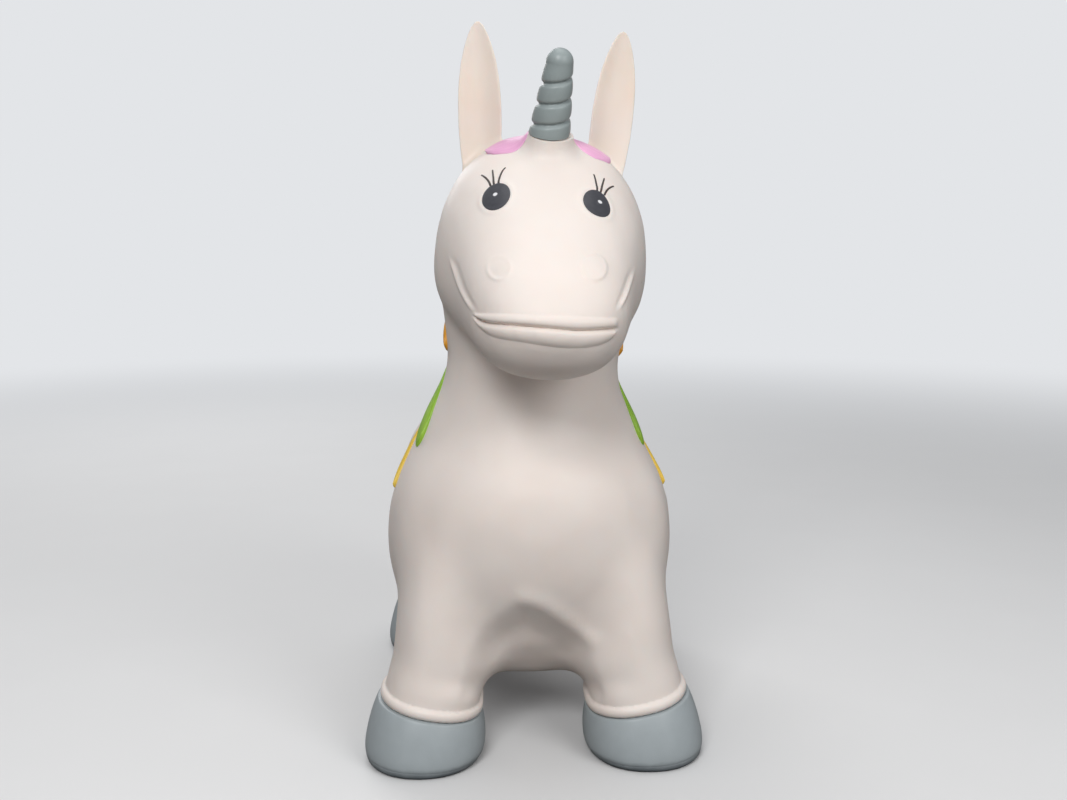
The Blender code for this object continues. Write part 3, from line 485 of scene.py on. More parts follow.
def select_parts(obj, kind, chosen):
    """Select these vertices, edges or faces alone, and leave the object in edit mode."""
    only(obj)
    bpy.ops.object.mode_set(mode="EDIT")
    bpy.ops.mesh.select_mode(type=kind)
    bpy.ops.mesh.select_all(action="DESELECT")
    bpy.ops.object.mode_set(mode="OBJECT")
    mesh = obj.data
    parts = {"VERT": mesh.vertices, "EDGE": mesh.edges, "FACE": mesh.polygons}[kind]
    parts.foreach_set("select", np.asarray(chosen, bool))
    bpy.ops.object.mode_set(mode="EDIT")


def apply_modifier(obj, kind, **settings):
    modifier = obj.modifiers.new(kind.lower(), kind)
    for name, value in settings.items():
        setattr(modifier, name, value)
    only(obj)
    bpy.ops.object.modifier_apply(modifier=modifier.name)


def round_off(obj, levels):
    apply_modifier(obj, "SUBSURF", levels=levels, render_levels=levels)


def add_tube(name, rows, sides, place):
    """Add a closed cylinder, cut it into rows, and lay its points by place(along, angle)."""
    bpy.ops.object.select_all(action="DESELECT")
    bpy.ops.mesh.primitive_cylinder_add(vertices=sides, radius=1, depth=1, end_fill_type="TRIFAN")
    obj = bpy.context.active_object
    obj.name = name
    obj.data.name = name
    heights = points_of(obj)[:, 2]
    upright = [abs(np.diff(heights[list(edge.vertices)])[0]) > 0.5 for edge in obj.data.edges]
    select_parts(obj, "EDGE", upright)
    bpy.ops.mesh.subdivide(number_cuts=rows - 1)
    bpy.ops.object.mode_set(mode="OBJECT")
    points = points_of(obj)
    radius = np.hypot(points[:, 0], points[:, 1])
    laid = np.zeros_like(points)
    for i, (x, y, z) in enumerate(points):
        if radius[i] > 0.5:
            laid[i] = place(z + 0.5, math.atan2(y, x) % (2 * math.pi))
    for level in (-0.5, 0.5):
        end = np.abs(points[:, 2] - level) < TOUCH
        laid[end & (radius < 0.5)] = laid[end & (radius > 0.5)].mean(axis=0)
    move_points(obj, laid)
    face_outwards(obj)
    return obj


def face_outwards(obj):
    """Turn a closed mesh right side out."""
    points = points_of(obj)
    obj.data.calc_loop_triangles()
    corners = np.empty(len(obj.data.loop_triangles) * 3, np.int32)
    obj.data.loop_triangles.foreach_get("vertices", corners)
    a, b, c = (points[corners[k::3]] for k in range(3))
    if np.einsum("ij,ij->", a, np.cross(b, c)) < 0:
        only(obj)
        bpy.ops.object.mode_set(mode="EDIT")
        bpy.ops.mesh.select_all(action="SELECT")
        bpy.ops.mesh.flip_normals()
        bpy.ops.object.mode_set(mode="OBJECT")


def select_rim(obj, place, reach):
    """Select the open edges near a place alone, and leave the object in edit mode."""
    edges = obj.data.edges
    faces_on = np.zeros(len(edges), int)
    for loop in obj.data.loops:
        faces_on[loop.edge_index] += 1
    points = points_of(obj)[[edge.vertices[0] for edge in edges]]
    near = np.linalg.norm(points - np.array(place), axis=1) < reach
    select_parts(obj, "EDGE", (faces_on == 1) & near)


def surface_of(obj):
    return BVHTree.FromObject(obj, bpy.context.evaluated_depsgraph_get())


def hit(surface, start, way):
    """Where a line meets a surface, and the surface's normal there."""
    place, normal, _, _ = surface.ray_cast(start, way)
    if place is None:
        raise RuntimeError(f"no surface ahead of {tuple(start)}")
    return place, normal


def camera_axes():
    """The camera's matrix: looking along +Y, turned and tipped."""
    turn = Matrix.Rotation(CAMERA_YAW, 4, "Z")
    tip = Matrix.Rotation(math.pi / 2 + CAMERA_PITCH, 4, "X")
    return Matrix.Translation(CAMERA_PLACE) @ (turn @ tip)


def pixels_of(points):
    """Where points show in the photograph's frame."""
    seen = (points - np.array(CAMERA_PLACE)) @ np.array(camera_axes().to_3x3())
    across = PHOTO_WIDTH / 2 - CAMERA_FOCUS * seen[:, 0] / seen[:, 2]
    down = PHOTO_HEIGHT / 2 + CAMERA_FOCUS * seen[:, 1] / seen[:, 2]
    return np.stack([across, down], axis=1)


def facing(points, normals):
    """How squarely a surface faces the camera, from 1 to -1."""
    sight = np.array(CAMERA_PLACE) - points
    return (sight * normals).sum(axis=1) / np.linalg.norm(sight, axis=1)


def seen_at(surface, across, down):
    """The point of a surface that the camera sees at this pixel, and its normal."""
    sight = Vector((across - PHOTO_WIDTH / 2, PHOTO_HEIGHT / 2 - down, -CAMERA_FOCUS))
    return hit(surface, CAMERA_PLACE, camera_axes().to_3x3() @ sight.normalized())


def set_inputs(tree, node, inputs):
    """Set or link a node's inputs."""
    for name, value in inputs.items():
        if isinstance(value, bpy.types.NodeSocket):
            tree.links.new(value, node.inputs[name])
        else:
            node.inputs[name].default_value = value


def add_node(tree, kind, inputs=None, **settings):
    """Add a node, set its properties, and set or link its inputs."""
    node = tree.nodes.new(kind)
    for name, value in settings.items():
        setattr(node, name, value)
    set_inputs(tree, node, inputs or {})
    return node


def new_material(name):
    """A material, its tree, its Principled shader and its object coordinates."""
    made = bpy.data.materials.new(name)
    made.use_nodes = True
    tree = made.node_tree
    coordinates = add_node(tree, "ShaderNodeTexCoord").outputs["Object"]
    return made, tree, tree.nodes["Principled BSDF"], coordinates


def mottle(tree, place, width, main, other, detail=3.0):
    """A colour that drifts between two in patches of this width, and the patches themselves."""
    patches = add_node(
        tree, "ShaderNodeTexNoise",
        {"Vector": place, "Scale": 1 / width, "Detail": detail}).outputs["Fac"]
    tint = add_node(
        tree, "ShaderNodeMix", {"Factor": patches, "A": (*main, 1), "B": (*other, 1)},
        data_type="RGBA")
    return tint.outputs["Result"], patches


def peel(tree, place, width, strength, **under):
    """The normal of a fine orange peel, over another normal if there is one."""
    grain = add_node(
        tree, "ShaderNodeTexNoise", {"Vector": place, "Scale": 1 / width, "Detail": 2.0})
    return add_node(
        tree, "ShaderNodeBump",
        {"Height": grain.outputs["Fac"], "Strength": strength, "Distance": PEEL_DEPTH, **under},
    ).outputs["Normal"]


def give(obj, material):
    obj.data.materials.clear()
    obj.data.materials.append(material)


def dress(piece, look, slot, body, *nodes):
    """Shade a piece smooth, give it its material, hide the nodes it replaces and hang it on its
    body; the slot is not used.
    """
    only(piece)
    bpy.ops.object.shade_smooth()
    give(piece, look)
    if nodes:
        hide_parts(*nodes)
    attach(piece, body)


def colour_property(name, words, code):
    return bpy.props.FloatVectorProperty(
        name=name, description=words, subtype="COLOR", default=linear(code))


def seam_plane(across, along):
    """A point of a leg's seam and the seam's upward normal."""
    slope = math.copysign(SEAM_SLOPE, across)
    return Vector((across, along, SEAM_HEIGHT)), Vector((-math.sin(slope), 0, math.cos(slope)))


def horn_axis():
    return Vector((0, -math.sin(HORN_LEAN), math.cos(HORN_LEAN)))


def horn_frame():
    """The leaning head's matrix at the horn's seat, with +Z up the horn."""
    seat = bent_point(HORN_SEAT)
    up = (bent_point(HORN_SEAT + horn_axis() * PROBE_UP) - seat).normalized()
    side = (bent_point(HORN_SEAT + X * PROBE_ASIDE) - seat).normalized()
    front = side.cross(up).normalized()
    side = up.cross(front).normalized()
    turn = Matrix((side, -front, up)).transposed().to_4x4()
    return Matrix.Translation(seat) @ turn


class UnicornSkin(bpy.types.PropertyGroup):
    voxel: bpy.props.FloatProperty(
        name="Voxel", description="Grain of the grown skin", default=0.0045, unit="LENGTH")
    rounds: bpy.props.IntProperty(
        name="Smoothing rounds", description="How often the grown form is smoothed", default=26)
    colour: colour_property("Colour", "Cream of the vinyl", "#f0e8e2")
    shade: colour_property("Shade", "Warmer cream of its faint clouds", "#ecdfd6")


def soft_vinyl(name, colour, shade):
    """Soft PVC, rotationally moulded: satin, a little translucent, faintly clouded, with a fine
    orange peel from the mould and a few tiny dark specks of grit in it."""
    made, tree, shader, place = new_material(name)
    tint, clouds = mottle(tree, place, CLOUD_WIDTH, colour, shade)
    cells = add_node(
        tree, "ShaderNodeTexVoronoi", {"Vector": place, "Scale": 1 / SPECK_SPACING})
    chosen = add_node(tree, "ShaderNodeSeparateColor", {"Color": cells.outputs["Color"]})
    size = add_node(
        tree, "ShaderNodeMapRange",
        {"Value": chosen.outputs["Red"], "From Min": SPECKLESS_SHARE, "To Max": SPECK_SHARE})
    speck = add_node(
        tree, "ShaderNodeMath",
        {0: cells.outputs["Distance"], 1: size.outputs["Result"]}, operation="LESS_THAN")
    faint = add_node(
        tree, "ShaderNodeMath", {0: speck.outputs[0], 1: SPECK_STRENGTH}, operation="MULTIPLY")
    specked = add_node(
        tree, "ShaderNodeMix",
        {"Factor": faint.outputs[0], "A": tint, "B": (*linear(SPECK_COLOUR), 1)},
        data_type="RGBA")
    low, high = VINYL_ROUGHNESS
    gloss = add_node(tree, "ShaderNodeMapRange", {"Value": clouds, "To Min": low, "To Max": high})
    dimples = add_node(
        tree, "ShaderNodeTexNoise", {"Vector": place, "Scale": 1 / DIMPLE_WIDTH, "Detail": 1.0})
    waves = add_node(
        tree, "ShaderNodeBump",
        {"Height": dimples.outputs["Fac"], "Strength": 0.25, "Distance": DIMPLE_DEPTH})
    set_inputs(tree, shader, {
        "Base Color": specked.outputs["Result"],
        "Roughness": gloss.outputs["Result"],
        "Normal": peel(tree, place, PEEL_WIDTH, 0.12, Normal=waves.outputs["Normal"]),
        "Subsurface Weight": 0.2,
        "Subsurface Radius": (1.0, 0.6, 0.45),
        "Subsurface Scale": VINYL_GLOW,
        "IOR": PVC_IOR,
    })
    return made


def leg_faces(skin, across, along):
    """Which faces belong to the lower part of one leg."""
    x, y, z = face_middles(skin).T
    return (z < LEG_TOP) & (x * across > 0) & (y * along > 0)


def near_horn(skin, place):
    """Which faces lie round the horn's seat."""
    return np.linalg.norm(face_middles(skin) - np.array(place), axis=1) < HORN_REACH


def loose_copy(node):
    """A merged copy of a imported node's mesh, as a piece of its own."""
    packed = frame["nodes"][node]
    made = packed.copy()
    made.data = packed.data.copy()
    made.parent = None
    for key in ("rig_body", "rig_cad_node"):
        del made[key]
    bpy.context.scene.collection.objects.link(made)
    only(made)
    bpy.ops.object.mode_set(mode="EDIT")
    bpy.ops.mesh.select_all(action="SELECT")
    bpy.ops.mesh.remove_doubles(threshold=TOUCH)
    bpy.ops.object.mode_set(mode="OBJECT")
    return made


def outer_form(sizes):
    """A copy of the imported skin's outside alone, its openings run on and closed, grown smooth."""
    skin = loose_copy("body_skin")
    skin.name = "skin"
    ends = []
    for across, along in LEGS.values():
        seam, normal = seam_plane(across, along)
        above_bead = seam + normal * LEG_CUT
        select_parts(skin, "FACE", leg_faces(skin, across, along))
        bpy.ops.mesh.bisect(plane_co=above_bead, plane_no=normal, clear_inner=True)
        bpy.ops.object.mode_set(mode="OBJECT")
        ends.append((above_bead, -normal, LEG_RUN))
    grip = horn_frame()
    axis = grip.to_3x3() @ Z
    below_rim = grip.translation - axis * HORN_CUT
    select_parts(skin, "FACE", near_horn(skin, grip.translation))
    bpy.ops.mesh.bisect(plane_co=below_rim, plane_no=axis, clear_outer=True)
    bpy.ops.object.mode_set(mode="OBJECT")
    ends.append((below_rim, axis, HORN_RUN))
    lowest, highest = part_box("valve_seat")
    middle = (lowest + highest) / 2
    x, y, z = face_middles(skin).T
    bore = (np.hypot(x - middle.x, y - middle.y) < BORE_RADIUS) & (z < highest.z + BORE_MARGIN)
    select_parts(skin, "FACE", bore)
    bpy.ops.mesh.delete(type="FACE")
    bpy.ops.object.mode_set(mode="OBJECT")
    heights = points_of(skin)[:, 2]
    select_parts(skin, "VERT", np.arange(len(heights)) == heights.argmax())
    bpy.ops.mesh.select_linked()
    bpy.ops.mesh.select_all(action="INVERT")
    bpy.ops.mesh.delete(type="VERT")
    bpy.ops.object.mode_set(mode="OBJECT")
    for place, direction, run in ends:
        select_rim(skin, place, SEAM_REACH)
        bpy.ops.mesh.extrude_edges_move(TRANSFORM_OT_translate={"value": direction * run})
        bpy.ops.mesh.fill()
        bpy.ops.object.mode_set(mode="OBJECT")
    select_rim(skin, middle, VALVE_REACH)
    bpy.ops.mesh.fill()
    bpy.ops.object.mode_set(mode="OBJECT")
    packed_surface = surface_of(skin)
    apply_modifier(skin, "REMESH", mode="VOXEL", voxel_size=sizes.voxel)
    apply_modifier(skin, "SMOOTH", factor=0.5, iterations=sizes.rounds)
    regain(skin, packed_surface, sizes.rounds)
    return skin


def regain(skin, packed_surface, rounds):
    """Give a smoothed skin back what it shrank by, spread so widely that no flat faces return."""
    points = points_of(skin)
    normals = normals_of(skin)
    short = np.empty(len(points))
    for i, point in enumerate(points):
        near, _, _, _ = packed_surface.find_nearest(Vector(point))
        short[i] = (np.array(near) - point) @ normals[i]
    ends = np.empty(len(skin.data.edges) * 2, np.int32)
    skin.data.edges.foreach_get("vertices", ends)
    a, b = ends.reshape(-1, 2).T
    count = np.bincount(a, minlength=len(points)) + np.bincount(b, minlength=len(points))
    for _ in range(rounds):
        beside = np.bincount(a, short[b], len(points)) + np.bincount(b, short[a], len(points))
        short = (short + beside / count) / 2
    move_points(skin, points + normals * short[:, None])


def refine(skin, chosen, cuts):
    """Cut the chosen faces finer and round them off between their old corners."""
    select_parts(skin, "FACE", chosen)
    bpy.ops.mesh.subdivide(number_cuts=cuts)
    bpy.ops.mesh.vertices_smooth(factor=0.5, repeat=3 * cuts)
    bpy.ops.object.mode_set(mode="OBJECT")


def about_seam(points, across, along):
    """How far points lie above the plane of a leg's seam, which of them are near it, and the
    plane's normal."""
    seam, normal = seam_plane(across, along)
    away = points - np.array(seam)
    normal = np.array(normal)
    return away @ normal, np.linalg.norm(away, axis=1) < SEAM_REACH, normal


def eye_reach(spots, eye):
    """How far out spots lie in an eye's oval, where 1 is its edge."""
    middle, halves, tilt, narrow = eye[:4]
    c = math.cos(math.radians(tilt))
    s = math.sin(math.radians(tilt))
    away = (spots - np.array(middle)) * (1, -1)
    along = (away @ np.array((c, s))) / halves[0]
    side = (away @ np.array((-s, c))) / halves[1]
    return np.hypot(along, side / (1 - narrow * along))


def refine_relief(skin):
    """Give the skin a finer mesh where its lips, nostrils, folds, eyes and beads are."""
    middles = face_middles(skin)
    spots = pixels_of(middles)
    low, high = MOUTH_ZONE
    face = ((spots > low) & (spots < high)).all(axis=1)
    for line in CHEEK_FOLDS:
        face |= far_from(line, spots) < FOLD_ZONE
    for middle, radius, _, _ in NOSTRILS:
        face |= np.hypot(*(spots - np.array(middle)).T) < radius + NOSTRIL_ZONE
    for eye in EYES.values():
        face |= eye_reach(spots, eye) < EYE_ZONE
    refine(skin, face & (middles[:, 1] < FINE_FACE_FRONT), FACE_CUTS)
    middles = face_middles(skin)
    beads = np.zeros(len(middles), bool)
    for across, along in LEGS.values():
        above, near, _ = about_seam(middles, across, along)
        beads |= near & (above > -BEAD_MARGIN) & (above < BEAD_HEIGHT + BEAD_MARGIN)
    refine(skin, beads, BEAD_CUTS)


def lips(spots):
    """How far the two lips stand out, and how deep the crease between them is."""
    across, down = spots.T
    crease, upper, lower = (
        np.interp(across, *curve(line).T) for line in (MOUTH, UPPER_LIP, LOWER_LIP))
    above = (crease - down) / np.maximum(crease - upper, 1.0)
    below = (down - crease) / np.maximum(lower - crease, 1.0)
    share = np.clip(np.maximum(above, below), 0.0, 1.0)
    roll = 1 - (2 * share - 1) ** 2
    (left, left_fade), (right, right_fade) = MOUTH_ENDS
    ends = smooth_step((across - left) / left_fade) * smooth_step((right - across) / right_fade)
    return ends * (LIP_RISE * roll - MOUTH_DEPTH * hump(down - crease, MOUTH_REACH))


def face_relief(spots):
    """How far the moulded face stands out at these pixels."""
    rise = lips(spots)
    for line, inwards in zip(CHEEK_FOLDS, (1, -1)):
        ends = smooth_step((spots[:, 1] - line[0][1]) / FOLD_FADE)
        ends *= smooth_step((line[-1][1] + FOLD_RUN_ON - spots[:, 1]) / FOLD_FADE)
        rise += FOLD_RISE * ends * hump(far_from(line, spots), FOLD_REACH)
        furrow = [(across + FURROW_STEP * inwards, down) for across, down in line]
        depth = FURROW_SHARE * FOLD_RISE * ends
        rise -= depth * hump(far_from(furrow, spots), FURROW_REACH)
    for middle, radius, rim, disc in NOSTRILS:
        away = spots - np.array(middle)
        reach = np.hypot(*away.T)
        upper = NOSTRIL_UPPER_SHARE
        low = upper + (1 - upper) * away[:, 1] / np.maximum(reach, LEAST_REACH)
        rise += rim * low * hump(reach - radius, NOSTRIL_RIM_REACH)
        rise += disc * smooth_step((radius + NOSTRIL_DISC_FADE / 2 - reach) / NOSTRIL_DISC_FADE)
    for eye in EYES.values():
        past_rim = (eye_reach(spots, eye) - EYE_RIM_SHARE) * eye[1][1]
        rise += EYE_RIM_RISE * hump(past_rim, EYE_RIM_REACH)
    return rise


def chest_relief(spots):
    """How far the chest's fold stands out, and how deep the chest runs back under itself between
    the front legs, at these pixels."""
    across, down = spots.T
    border = np.interp(across, *curve(HOLLOW).T, np.inf, np.inf)
    inside = np.where(down > border, 1, -1) * far_from(HOLLOW, spots)
    hollow = HOLLOW_DEPTH * smooth_step(inside / HOLLOW_FADE)
    aside = np.abs(across - UNDER_MIDDLE) ** 2
    under = UNDER_DEPTH * smooth_step((down - UNDER_TOP) / UNDER_FADE)
    under *= hump(aside, UNDER_REACH**2)
    depth = (hollow + under) * smooth_step((HOLLOW_FOOT - down) / HOLLOW_FOOT_FADE)
    return CHEST_FOLD_RISE * hump(far_from(CHEST_FOLD, spots), CHEST_FOLD_REACH), depth


def mould_relief(skin):
    """Move the skin's points out and in by its beads and the relief of its face and chest."""
    points = points_of(skin)
    normals = normals_of(skin)
    spots = pixels_of(points)
    seen = smooth_step(facing(points, normals) / TURNED_AWAY)
    rise = np.zeros(len(points))
    face = (points[:, 1] < FACE_FRONT) & (points[:, 2] > FACE_FOOT) & (seen > 0)
    rise[face] = face_relief(spots[face]) * seen[face]
    chest = (points[:, 1] < CHEST_FRONT) & (points[:, 2] < CHEST_TOP)
    fold, depth = chest_relief(spots[chest])
    rise[chest] = fold * seen[chest]
    sight = points[chest] - np.array(CAMERA_PLACE)
    sight /= np.linalg.norm(sight, axis=1)[:, None]
    depth *= smooth_step((CHEST_FRONT - points[chest, 1]) / CHEST_FADE)
    points[chest] += sight * depth[:, None]
    for across, along in LEGS.values():
        above, near, up = about_seam(points, across, along)
        share = 2 * above / BEAD_HEIGHT - 1
        bead = near & (np.abs(share) < 1)
        rise[bead] = BEAD_RISE * np.sqrt(1 - share[bead] ** 2)
        normals[bead] -= np.outer(normals[bead] @ up, up)
    move_points(skin, points + normals * rise[:, None])


def cut_end(skin, place, normal, near):
    """Cut the skin off flat on the side that normal points away from, and close the end."""
    select_parts(skin, "FACE", near)
    bpy.ops.mesh.bisect(plane_co=place, plane_no=normal, use_fill=True, clear_inner=True)
    bpy.ops.object.mode_set(mode="OBJECT")


class UNICORN_OT_skin(bpy.types.Operator):
    """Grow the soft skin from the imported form"""

    bl_idname = "unicorn.skin"
    bl_label = "Skin"

    def execute(self, context):
        sizes = context.scene.unicorn_skin
        skin = outer_form(sizes)
        refine_relief(skin)
        mould_relief(skin)
        for across, along in LEGS.values():
            cut_end(skin, *seam_plane(across, along), leg_faces(skin, across, along))
        grip = horn_frame()
        place = grip.translation
        cut_end(skin, place, -(grip.to_3x3() @ Z), near_horn(skin, place))
        only(skin)
        bpy.ops.object.shade_smooth_by_angle(angle=HARD_EDGE)
        give(skin, soft_vinyl("soft_moulded_pvc", sizes.colour, sizes.shade))
        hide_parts("body_skin")
        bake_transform(skin)
        return {"FINISHED"}


def super_ellipse(angle, squareness):
    """Where an angle lies on a rounded square, as shares of its half sizes."""
    c = math.cos(angle)
    s = math.sin(angle)
    return (
        math.copysign(abs(c) ** (2 / squareness), c),
        math.copysign(abs(s) ** (2 / squareness), s),
    )


class UnicornHooves(bpy.types.PropertyGroup):
    colour: colour_property("Colour", "Grey of the hooves", "#a6aeb1")
    # Painted shade: the darker grey near the ground stands in for the shade where the hoof turns
    # under
    shaded_sole: colour_property("Sole", "Darker grey near the ground", "#5d6469")


def sprayed_vinyl(name, colour, painted_shade_colour, foot, top):
    """Moulded PVC with a sprayed coat: satin and thinly clouded, with a painted shade that darkens
    it towards the bottom.
    """
    made, tree, shader, place = new_material(name)
    # Painted shade: below the heights foot to top the coat darkens into the shade colour, along a
    # ragged line
    height = add_node(tree, "ShaderNodeSeparateXYZ", {"Vector": place}).outputs["Z"]
    clouds = add_node(
        tree, "ShaderNodeTexNoise",
        {"Vector": place, "Scale": 1 / COAT_CLOUD_WIDTH, "Detail": 4.0}).outputs["Fac"]
    ragged = add_node(
        tree, "ShaderNodeMath", {0: clouds, 1: PAINTED_SHADE_RAGGEDNESS, 2: height}, operation="MULTIPLY_ADD")
    fade = add_node(
        tree, "ShaderNodeMapRange",
        {"Value": ragged.outputs[0], "From Min": foot, "From Max": top})
    tint = add_node(
        tree, "ShaderNodeMix",
        {"Factor": fade.outputs[0], "A": (*painted_shade_colour, 1), "B": (*colour, 1)}, data_type="RGBA")
    value, gloss = (
        add_node(tree, "ShaderNodeMapRange", {"Value": clouds, "To Min": low, "To Max": high})
        for low, high in (COAT_SHADES, COAT_ROUGHNESS))
    clouded = add_node(
        tree, "ShaderNodeHueSaturation",
        {"Color": tint.outputs["Result"], "Value": value.outputs[0]})
    set_inputs(tree, shader, {
        "Base Color": clouded.outputs["Color"],
        "Roughness": gloss.outputs["Result"],
        "Normal": peel(tree, place, COAT_PEEL_WIDTH, 0.15),
        "Subsurface Weight": 0.05,
        "Subsurface Radius": (1.0, 0.9, 0.8),
        "Subsurface Scale": COAT_GLOW,
        "IOR": PVC_IOR,
    })
    return made


def hoof_points(leg_across, along):
    """Where each ring of a hoof lies, from its rim under the seam to its sole."""
    out = X * math.copysign(1, leg_across)
    seam, normal = seam_plane(leg_across, along)
    level = normal.cross(FRONT).normalized()
    rim = seam - normal * GAP
    ground = Vector((rim.x, along, 0))

    def place(share, angle):
        depth, growth = HOOF_SHARES[round(share * (len(HOOF_SHARES) - 1))]
        centre = rim.lerp(ground, depth) + (out + FRONT) * HOOF_SHIFT * depth
        u, v = super_ellipse(angle, HOOF_SQUARENESS)
        half_width = (LEG_WIDTH + (HOOF_TOE_WIDTH - LEG_WIDTH) * growth) / 2
        half_depth = (LEG_DEPTH + (HOOF_TOE_DEPTH - LEG_DEPTH) * growth) / 2
        flat = level.lerp(X, depth).normalized()
        return centre + flat * u * half_width + FRONT * v * half_depth

    return place


class UNICORN_OT_hooves(bpy.types.Operator):
    """Model the four moulded hooves"""

    bl_idname = "unicorn.hooves"
    bl_label = "Hooves"

    def execute(self, context):
        looks = context.scene.unicorn_hooves
        # The hooves' coat is darkened near the ground by a painted shade
        coat = sprayed_vinyl("sprayed_hoof_pvc", looks.colour, looks.shaded_sole, *HOOF_SHADE_HEIGHTS)
        rows = len(HOOF_SHARES) - 1
        for name, (across, along) in LEGS.items():
            hoof = add_tube("hoof_shell_" + name, rows, HOOF_SIDES, hoof_points(across, along))
            round_off(hoof, 2)
            dress(hoof, coat, "hoof_vinyl", "hooves", "hoof_" + name)
        return {"FINISHED"}


class UnicornHorn(bpy.types.PropertyGroup):
    colour: colour_property("Colour", "Grey of the horn", "#98a2a2")
    # Painted shade: this darker grey is laid at the horn's foot, below its shade heights, not in
    # its groove
    groove: colour_property("Groove", "Grey in the groove", "#7f8a8b")


def horn_points(share, angle):
    """A point of the horn, from its seat up its wound side and over its smooth dome."""
    body = HORN_LENGTH - HORN_TIP_RADIUS
    run = share * (body + HORN_TIP_RADIUS * math.pi / 2)
    along = min(run, body)
    bend = (run - along) / HORN_TIP_RADIUS
    taper = HORN_RADIUS + (HORN_TIP_RADIUS - HORN_RADIUS) * along / body
    fade = float(smooth_step((body - run) / HORN_PITCH + HORN_FADE_TURNS))
    turns = run / HORN_PITCH - angle / (2 * math.pi) + HORN_FIRST_TURN
    gap = abs(turns - round(turns)) * HORN_PITCH
    groove = HORN_GROOVE * math.exp(-((gap / HORN_GROOVE_HALF_WIDTH) ** 2))
    bulge = HORN_BULGE * (math.sin(math.pi * (turns % 1)) - 0.5)
    radius = (taper + fade * (bulge - groove)) * math.cos(min(bend, math.pi / 2 - HORN_DOME_LEFT))
    height = along + HORN_TIP_RADIUS * math.sin(bend)
    point = Vector((radius * math.cos(angle), radius * math.sin(angle), height))
    lean = Matrix.Rotation(HORN_SIDE_LEAN * float(smooth_step(along / HORN_RADIUS)), 3, "Y")
    return horn_frame() @ (lean @ point + X * HORN_SIDE_STEP + Z * GAP)


class UNICORN_OT_horn(bpy.types.Operator):
    """Model the wound horn"""

    bl_idname = "unicorn.horn"
    bl_label = "Horn"

    def execute(self, context):
        looks = context.scene.unicorn_horn
        # The horn's coat is darkened at its foot by a painted shade
        coat = sprayed_vinyl("sprayed_horn_pvc", looks.colour, looks.groove, *HORN_SHADE_HEIGHTS)
        horn = add_tube("wound_horn", *HORN_MESH, horn_points)
        round_off(horn, 1)
        dress(horn, coat, "horn_vinyl", "animal", "horn")
        return {"FINISHED"}


def between(table, x):
    """The second value of a table of pairs at x, on straight lines between its rows."""
    return float(np.interp(x, [row[0] for row in table], [row[1] for row in table]))


def ear_points(side):
    """Where each ring of an ear lies, from its root in the head to its round tip."""
    out = X * side
    axis = (Z + out * math.tan(EAR_OUT_LEAN) - FRONT * math.tan(EAR_BACK_LEAN)).normalized()
    face = FRONT * math.cos(EAR_TURN) + out * math.sin(EAR_TURN)
    across = face.cross(axis).normalized()
    face = axis.cross(across).normalized()
    root = Vector((EAR_ROOT.x * side, EAR_ROOT.y, EAR_ROOT.z))

    def place(share, angle):
        left = max(1 - share, EAR_TIP_LEFT)
        wide = min(between(EAR_SHARES, 1 - left**2), EAR_TIP_SHARE * left)
        c = math.cos(angle)
        hollow = -EAR_SCOOP * wide * (1 - c * c)
        thick = EAR_THICKNESS / 2 * math.sqrt(wide) * math.sin(angle)
        point = root + axis * (1 - left**2) * EAR_LENGTH + across * wide * EAR_WIDTH / 2 * c
        return bent_point(point + face * (hollow + thick))

    return place


def flare(piece, surface, reach):
    """Spread the foot of a piece where it meets a surface, as a fillet of this reach would."""
    points = points_of(piece)
    normals = normals_of(piece)
    for i, point in enumerate(points):
        near, out, _, _ = surface.find_nearest(Vector(point))
        rise = (Vector(point) - near).dot(out)
        if rise < reach:
            rise = max(rise, 0.0)
            spread = reach - math.sqrt(reach**2 - (reach - rise) ** 2)
            side = Vector(normals[i])
            side -= out * side.dot(out)
            if side.length > EAR_LEAST_SIDE:
                points[i] += np.array(side.normalized() * spread)
    move_points(piece, points)


class UNICORN_OT_ears(bpy.types.Operator):
    """Model the two leaf-shaped ears"""

    bl_idname = "unicorn.ears"
    bl_label = "Ears"

    def execute(self, context):
        sizes = context.scene.unicorn_skin
        surface = surface_of(bpy.data.objects["skin"])
        # The ears' clouds drift to a peach painted glow, for light shining through the thin vinyl
        look = soft_vinyl("soft_moulded_pvc_ear", sizes.colour, linear(EAR_PAINTED_GLOW))
        for word, side in SIDES.items():
            ear = add_tube("ear_leaf_" + word, *EAR_MESH, ear_points(side))
            round_off(ear, 2)
            flare(ear, surface, EAR_FILLET)
            dress(ear, look, "skin_vinyl", "animal", "ear_" + word)
        return {"FINISHED"}


class UnicornFace(bpy.types.PropertyGroup):
    eye: colour_property("Eye", "Charcoal of the eyes", "#3f4046")
    glint: colour_property("Glint", "White dot in the eyes", "#e8e8ea")
    lash: colour_property("Lash", "Dark brown of the lashes", "#3a3330")


def eye_paint(name, colour, glint, middle):
    """Stencilled vinyl paint: satin charcoal in two close shades, with a white dot."""
    made, tree, shader, place = new_material(name)
    tint, _ = mottle(tree, place, EYE_GRAIN, *([c * k for c in colour] for k in EYE_SHADES))
    away = add_node(
        tree, "ShaderNodeVectorMath", {0: place, 1: middle}, operation="DISTANCE")
    dot = add_node(
        tree, "ShaderNodeMapRange",
        {"Value": away.outputs["Value"], "From Min": GLINT_RADIUS + GLINT_EDGE,
         "From Max": GLINT_RADIUS - GLINT_EDGE})
    painted = add_node(
        tree, "ShaderNodeMix", {"Factor": dot.outputs[0], "A": tint, "B": (*glint, 1)},
        data_type="RGBA")
    set_inputs(tree, shader, {
        "Base Color": painted.outputs["Result"], "Roughness": 0.38, "IOR": PVC_IOR})
    return made


